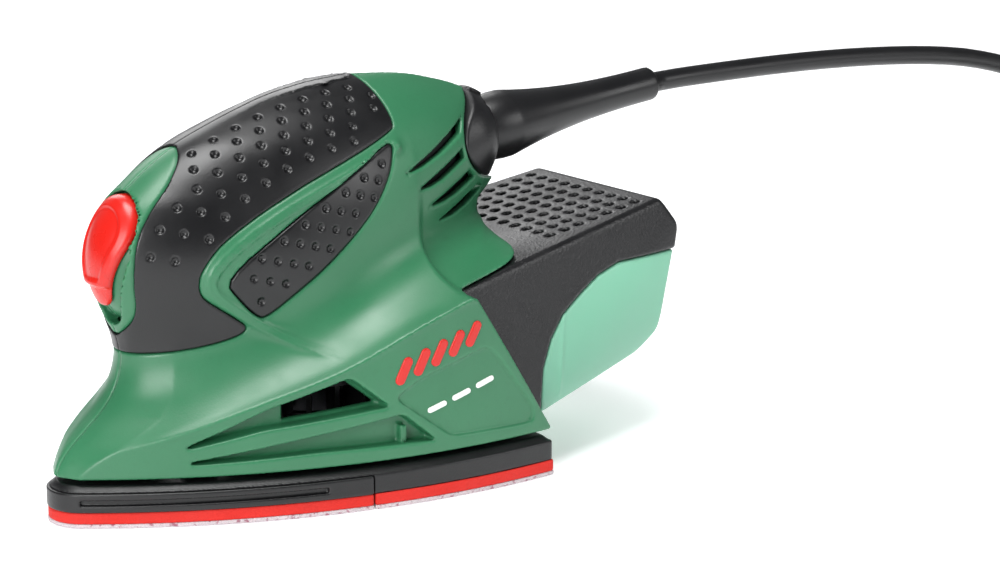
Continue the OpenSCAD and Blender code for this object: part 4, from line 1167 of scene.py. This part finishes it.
def layer_field(tip, pad):
    """Field of the tip's or the rear's part of the hook pad or of the sanding sheet."""
    low, high = (SHEET_T, PAD_TOP) if pad else (0.02, SHEET_T)

    def field(x, y, z):
        edge = plan(x, y) + (0.3 if pad else ragged(x, y) + 0.22)
        joint = split(x, y) if tip else -split(x, y)
        solid = smax(smax(edge, joint + 0.25, 0.5), between(z, low, high, 0.4), 0.35)
        solid = cut(solid, pad_holes(x, y), 0.3)
        if tip and pad:
            solid = cut(solid, np.hypot(x - DELTA_SCREW_X, y) - 4.4, 0.3)
            solid = cut(solid, nearest(x, y, LEGS[:2]) - 3.4, 0.3)
        return solid
    return field


FRONT_BOX = ((-73, -48), (20, 48))
REAR_BOX = ((3, -53), (72, 53))
WHOLE_BOX = ((-76, -53), (72, 53))


def plate_piece(name, field, box, low, high, cell, slot, node):
    (x0, y0), (x1, y1) = box
    piece(name, net(field, (x0, y0, low - 0.9), (x1, y1, high + 0.9), cell), slot, "plate", [node])


plate_piece("carrier_moulding", carrier_field, WHOLE_BOX, 4, 21.5, (0.62, 0.62, 0.42), "black_plastic",
            "carrier_plate")
plate_piece("delta_moulding", tip_field, FRONT_BOX, PAD_TOP, 10, (0.5, 0.5, 0.36), "black_plastic",
            "delta_plate")
for tip, box, part in ((True, FRONT_BOX, "delta"), (False, REAR_BOX, "rear")):
    plate_piece(f"{part}_hook_pad", layer_field(tip, True), box, SHEET_T, PAD_TOP, (0.6, 0.6, 0.4), "red_pad",
                f"{part}_pad")
    plate_piece(f"{part}_abrasive", layer_field(tip, False), box, 0, SHEET_T, (0.5, 0.5, 0.3), "abrasive",
                f"{part}_sheet")


# ---- carried-over nodes ----

NODE_SLOTS = {
    "steel": ["motor_shaft", "circlip", "leg_screws", "delta_screw", "small_screws", "housing_screws",
              "upper_bearing_outer", "upper_bearing_inner", "lower_bearing_outer", "lower_bearing_inner",
              "eccentric_bearing_outer", "eccentric_bearing_inner", "brush_springs"],
    "copper": ["armature_windings", "field_coils", "commutator"],
    "lamination": ["armature_core", "stator_core"],
    "brass": ["brush_holders"],
    "dark_steel": ["counterweight"],
    "die_cast": ["bearing_bracket"],
    "carbon": ["carbon_brushes"],
    "black_plastic": ["fan", "switch_module", "switch_link", "cord_clamp", "filter_frame", "terminal_block"],
    "black_rubber": ["rubber_legs", "bearing_bush", "port_seal"],
    "cord_rubber": ["inner_cord"],
    "yellow_plastic": ["capacitor"],
    "wire_blue": ["motor_leads"],
    "filter_paper": ["filter_pleats"],
}
for slot_name, names in NODE_SLOTS.items():
    for name in names:
        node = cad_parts[name]
        node.data.materials.clear()
        node.data.materials.append(materials[slot_name])


# ---- floor and light ----

def make_floor():
    n = Nodes("floor")
    n.to("Base Color", n.mix(n.spread(n.noise(0.3, 2), 0, 1), rgb(240, 241, 242), rgb(246, 247, 248)))
    n.set(Roughness=0.65, Specular_IOR_Level=0.3, Emission_Color=(1, 1, 1, 1), Emission_Strength=0.36)
    mesh = bpy.data.meshes.new("floor")
    size, height = 6, -0.0002
    corners = [(a * size, b * size, height) for a, b in ((-1, -1), (1, -1), (1, 1), (-1, 1))]
    mesh.from_pydata(corners, [], [(0, 1, 2, 3)])
    mesh.materials.append(n.material)
    floor = bpy.data.objects.new("floor", mesh)
    scene.collection.objects.link(floor)


# place and side in metres, power in watts
SOFTBOXES = {"overhead": ((-0.15, -0.1, 1.1), 0.6, 13), "left_front": ((-1.0, -0.55, 0.45), 0.55, 10),
             "right_front": ((0.75, -0.95, 0.5), 0.5, 3.5), "behind": ((0.4, 1.1, 0.8), 0.8, 7)}
LIT_POINT = (0.03, 0, 0.06)


def softbox(name, place, size, power):
    data = bpy.data.lights.new(name, "AREA")
    data.shape = "SQUARE"
    data.size = size
    data.energy = power
    placed(name, data, place, LIT_POINT)


make_floor()
for light_name, values in SOFTBOXES.items():
    softbox(light_name, *values)
world = bpy.data.worlds.new("studio")
world.use_nodes = True
sky = world.node_tree.nodes["Background"].inputs
sky["Color"].default_value = (0.95, 0.97, 1, 1)
sky["Strength"].default_value = 0.16
scene.world = world
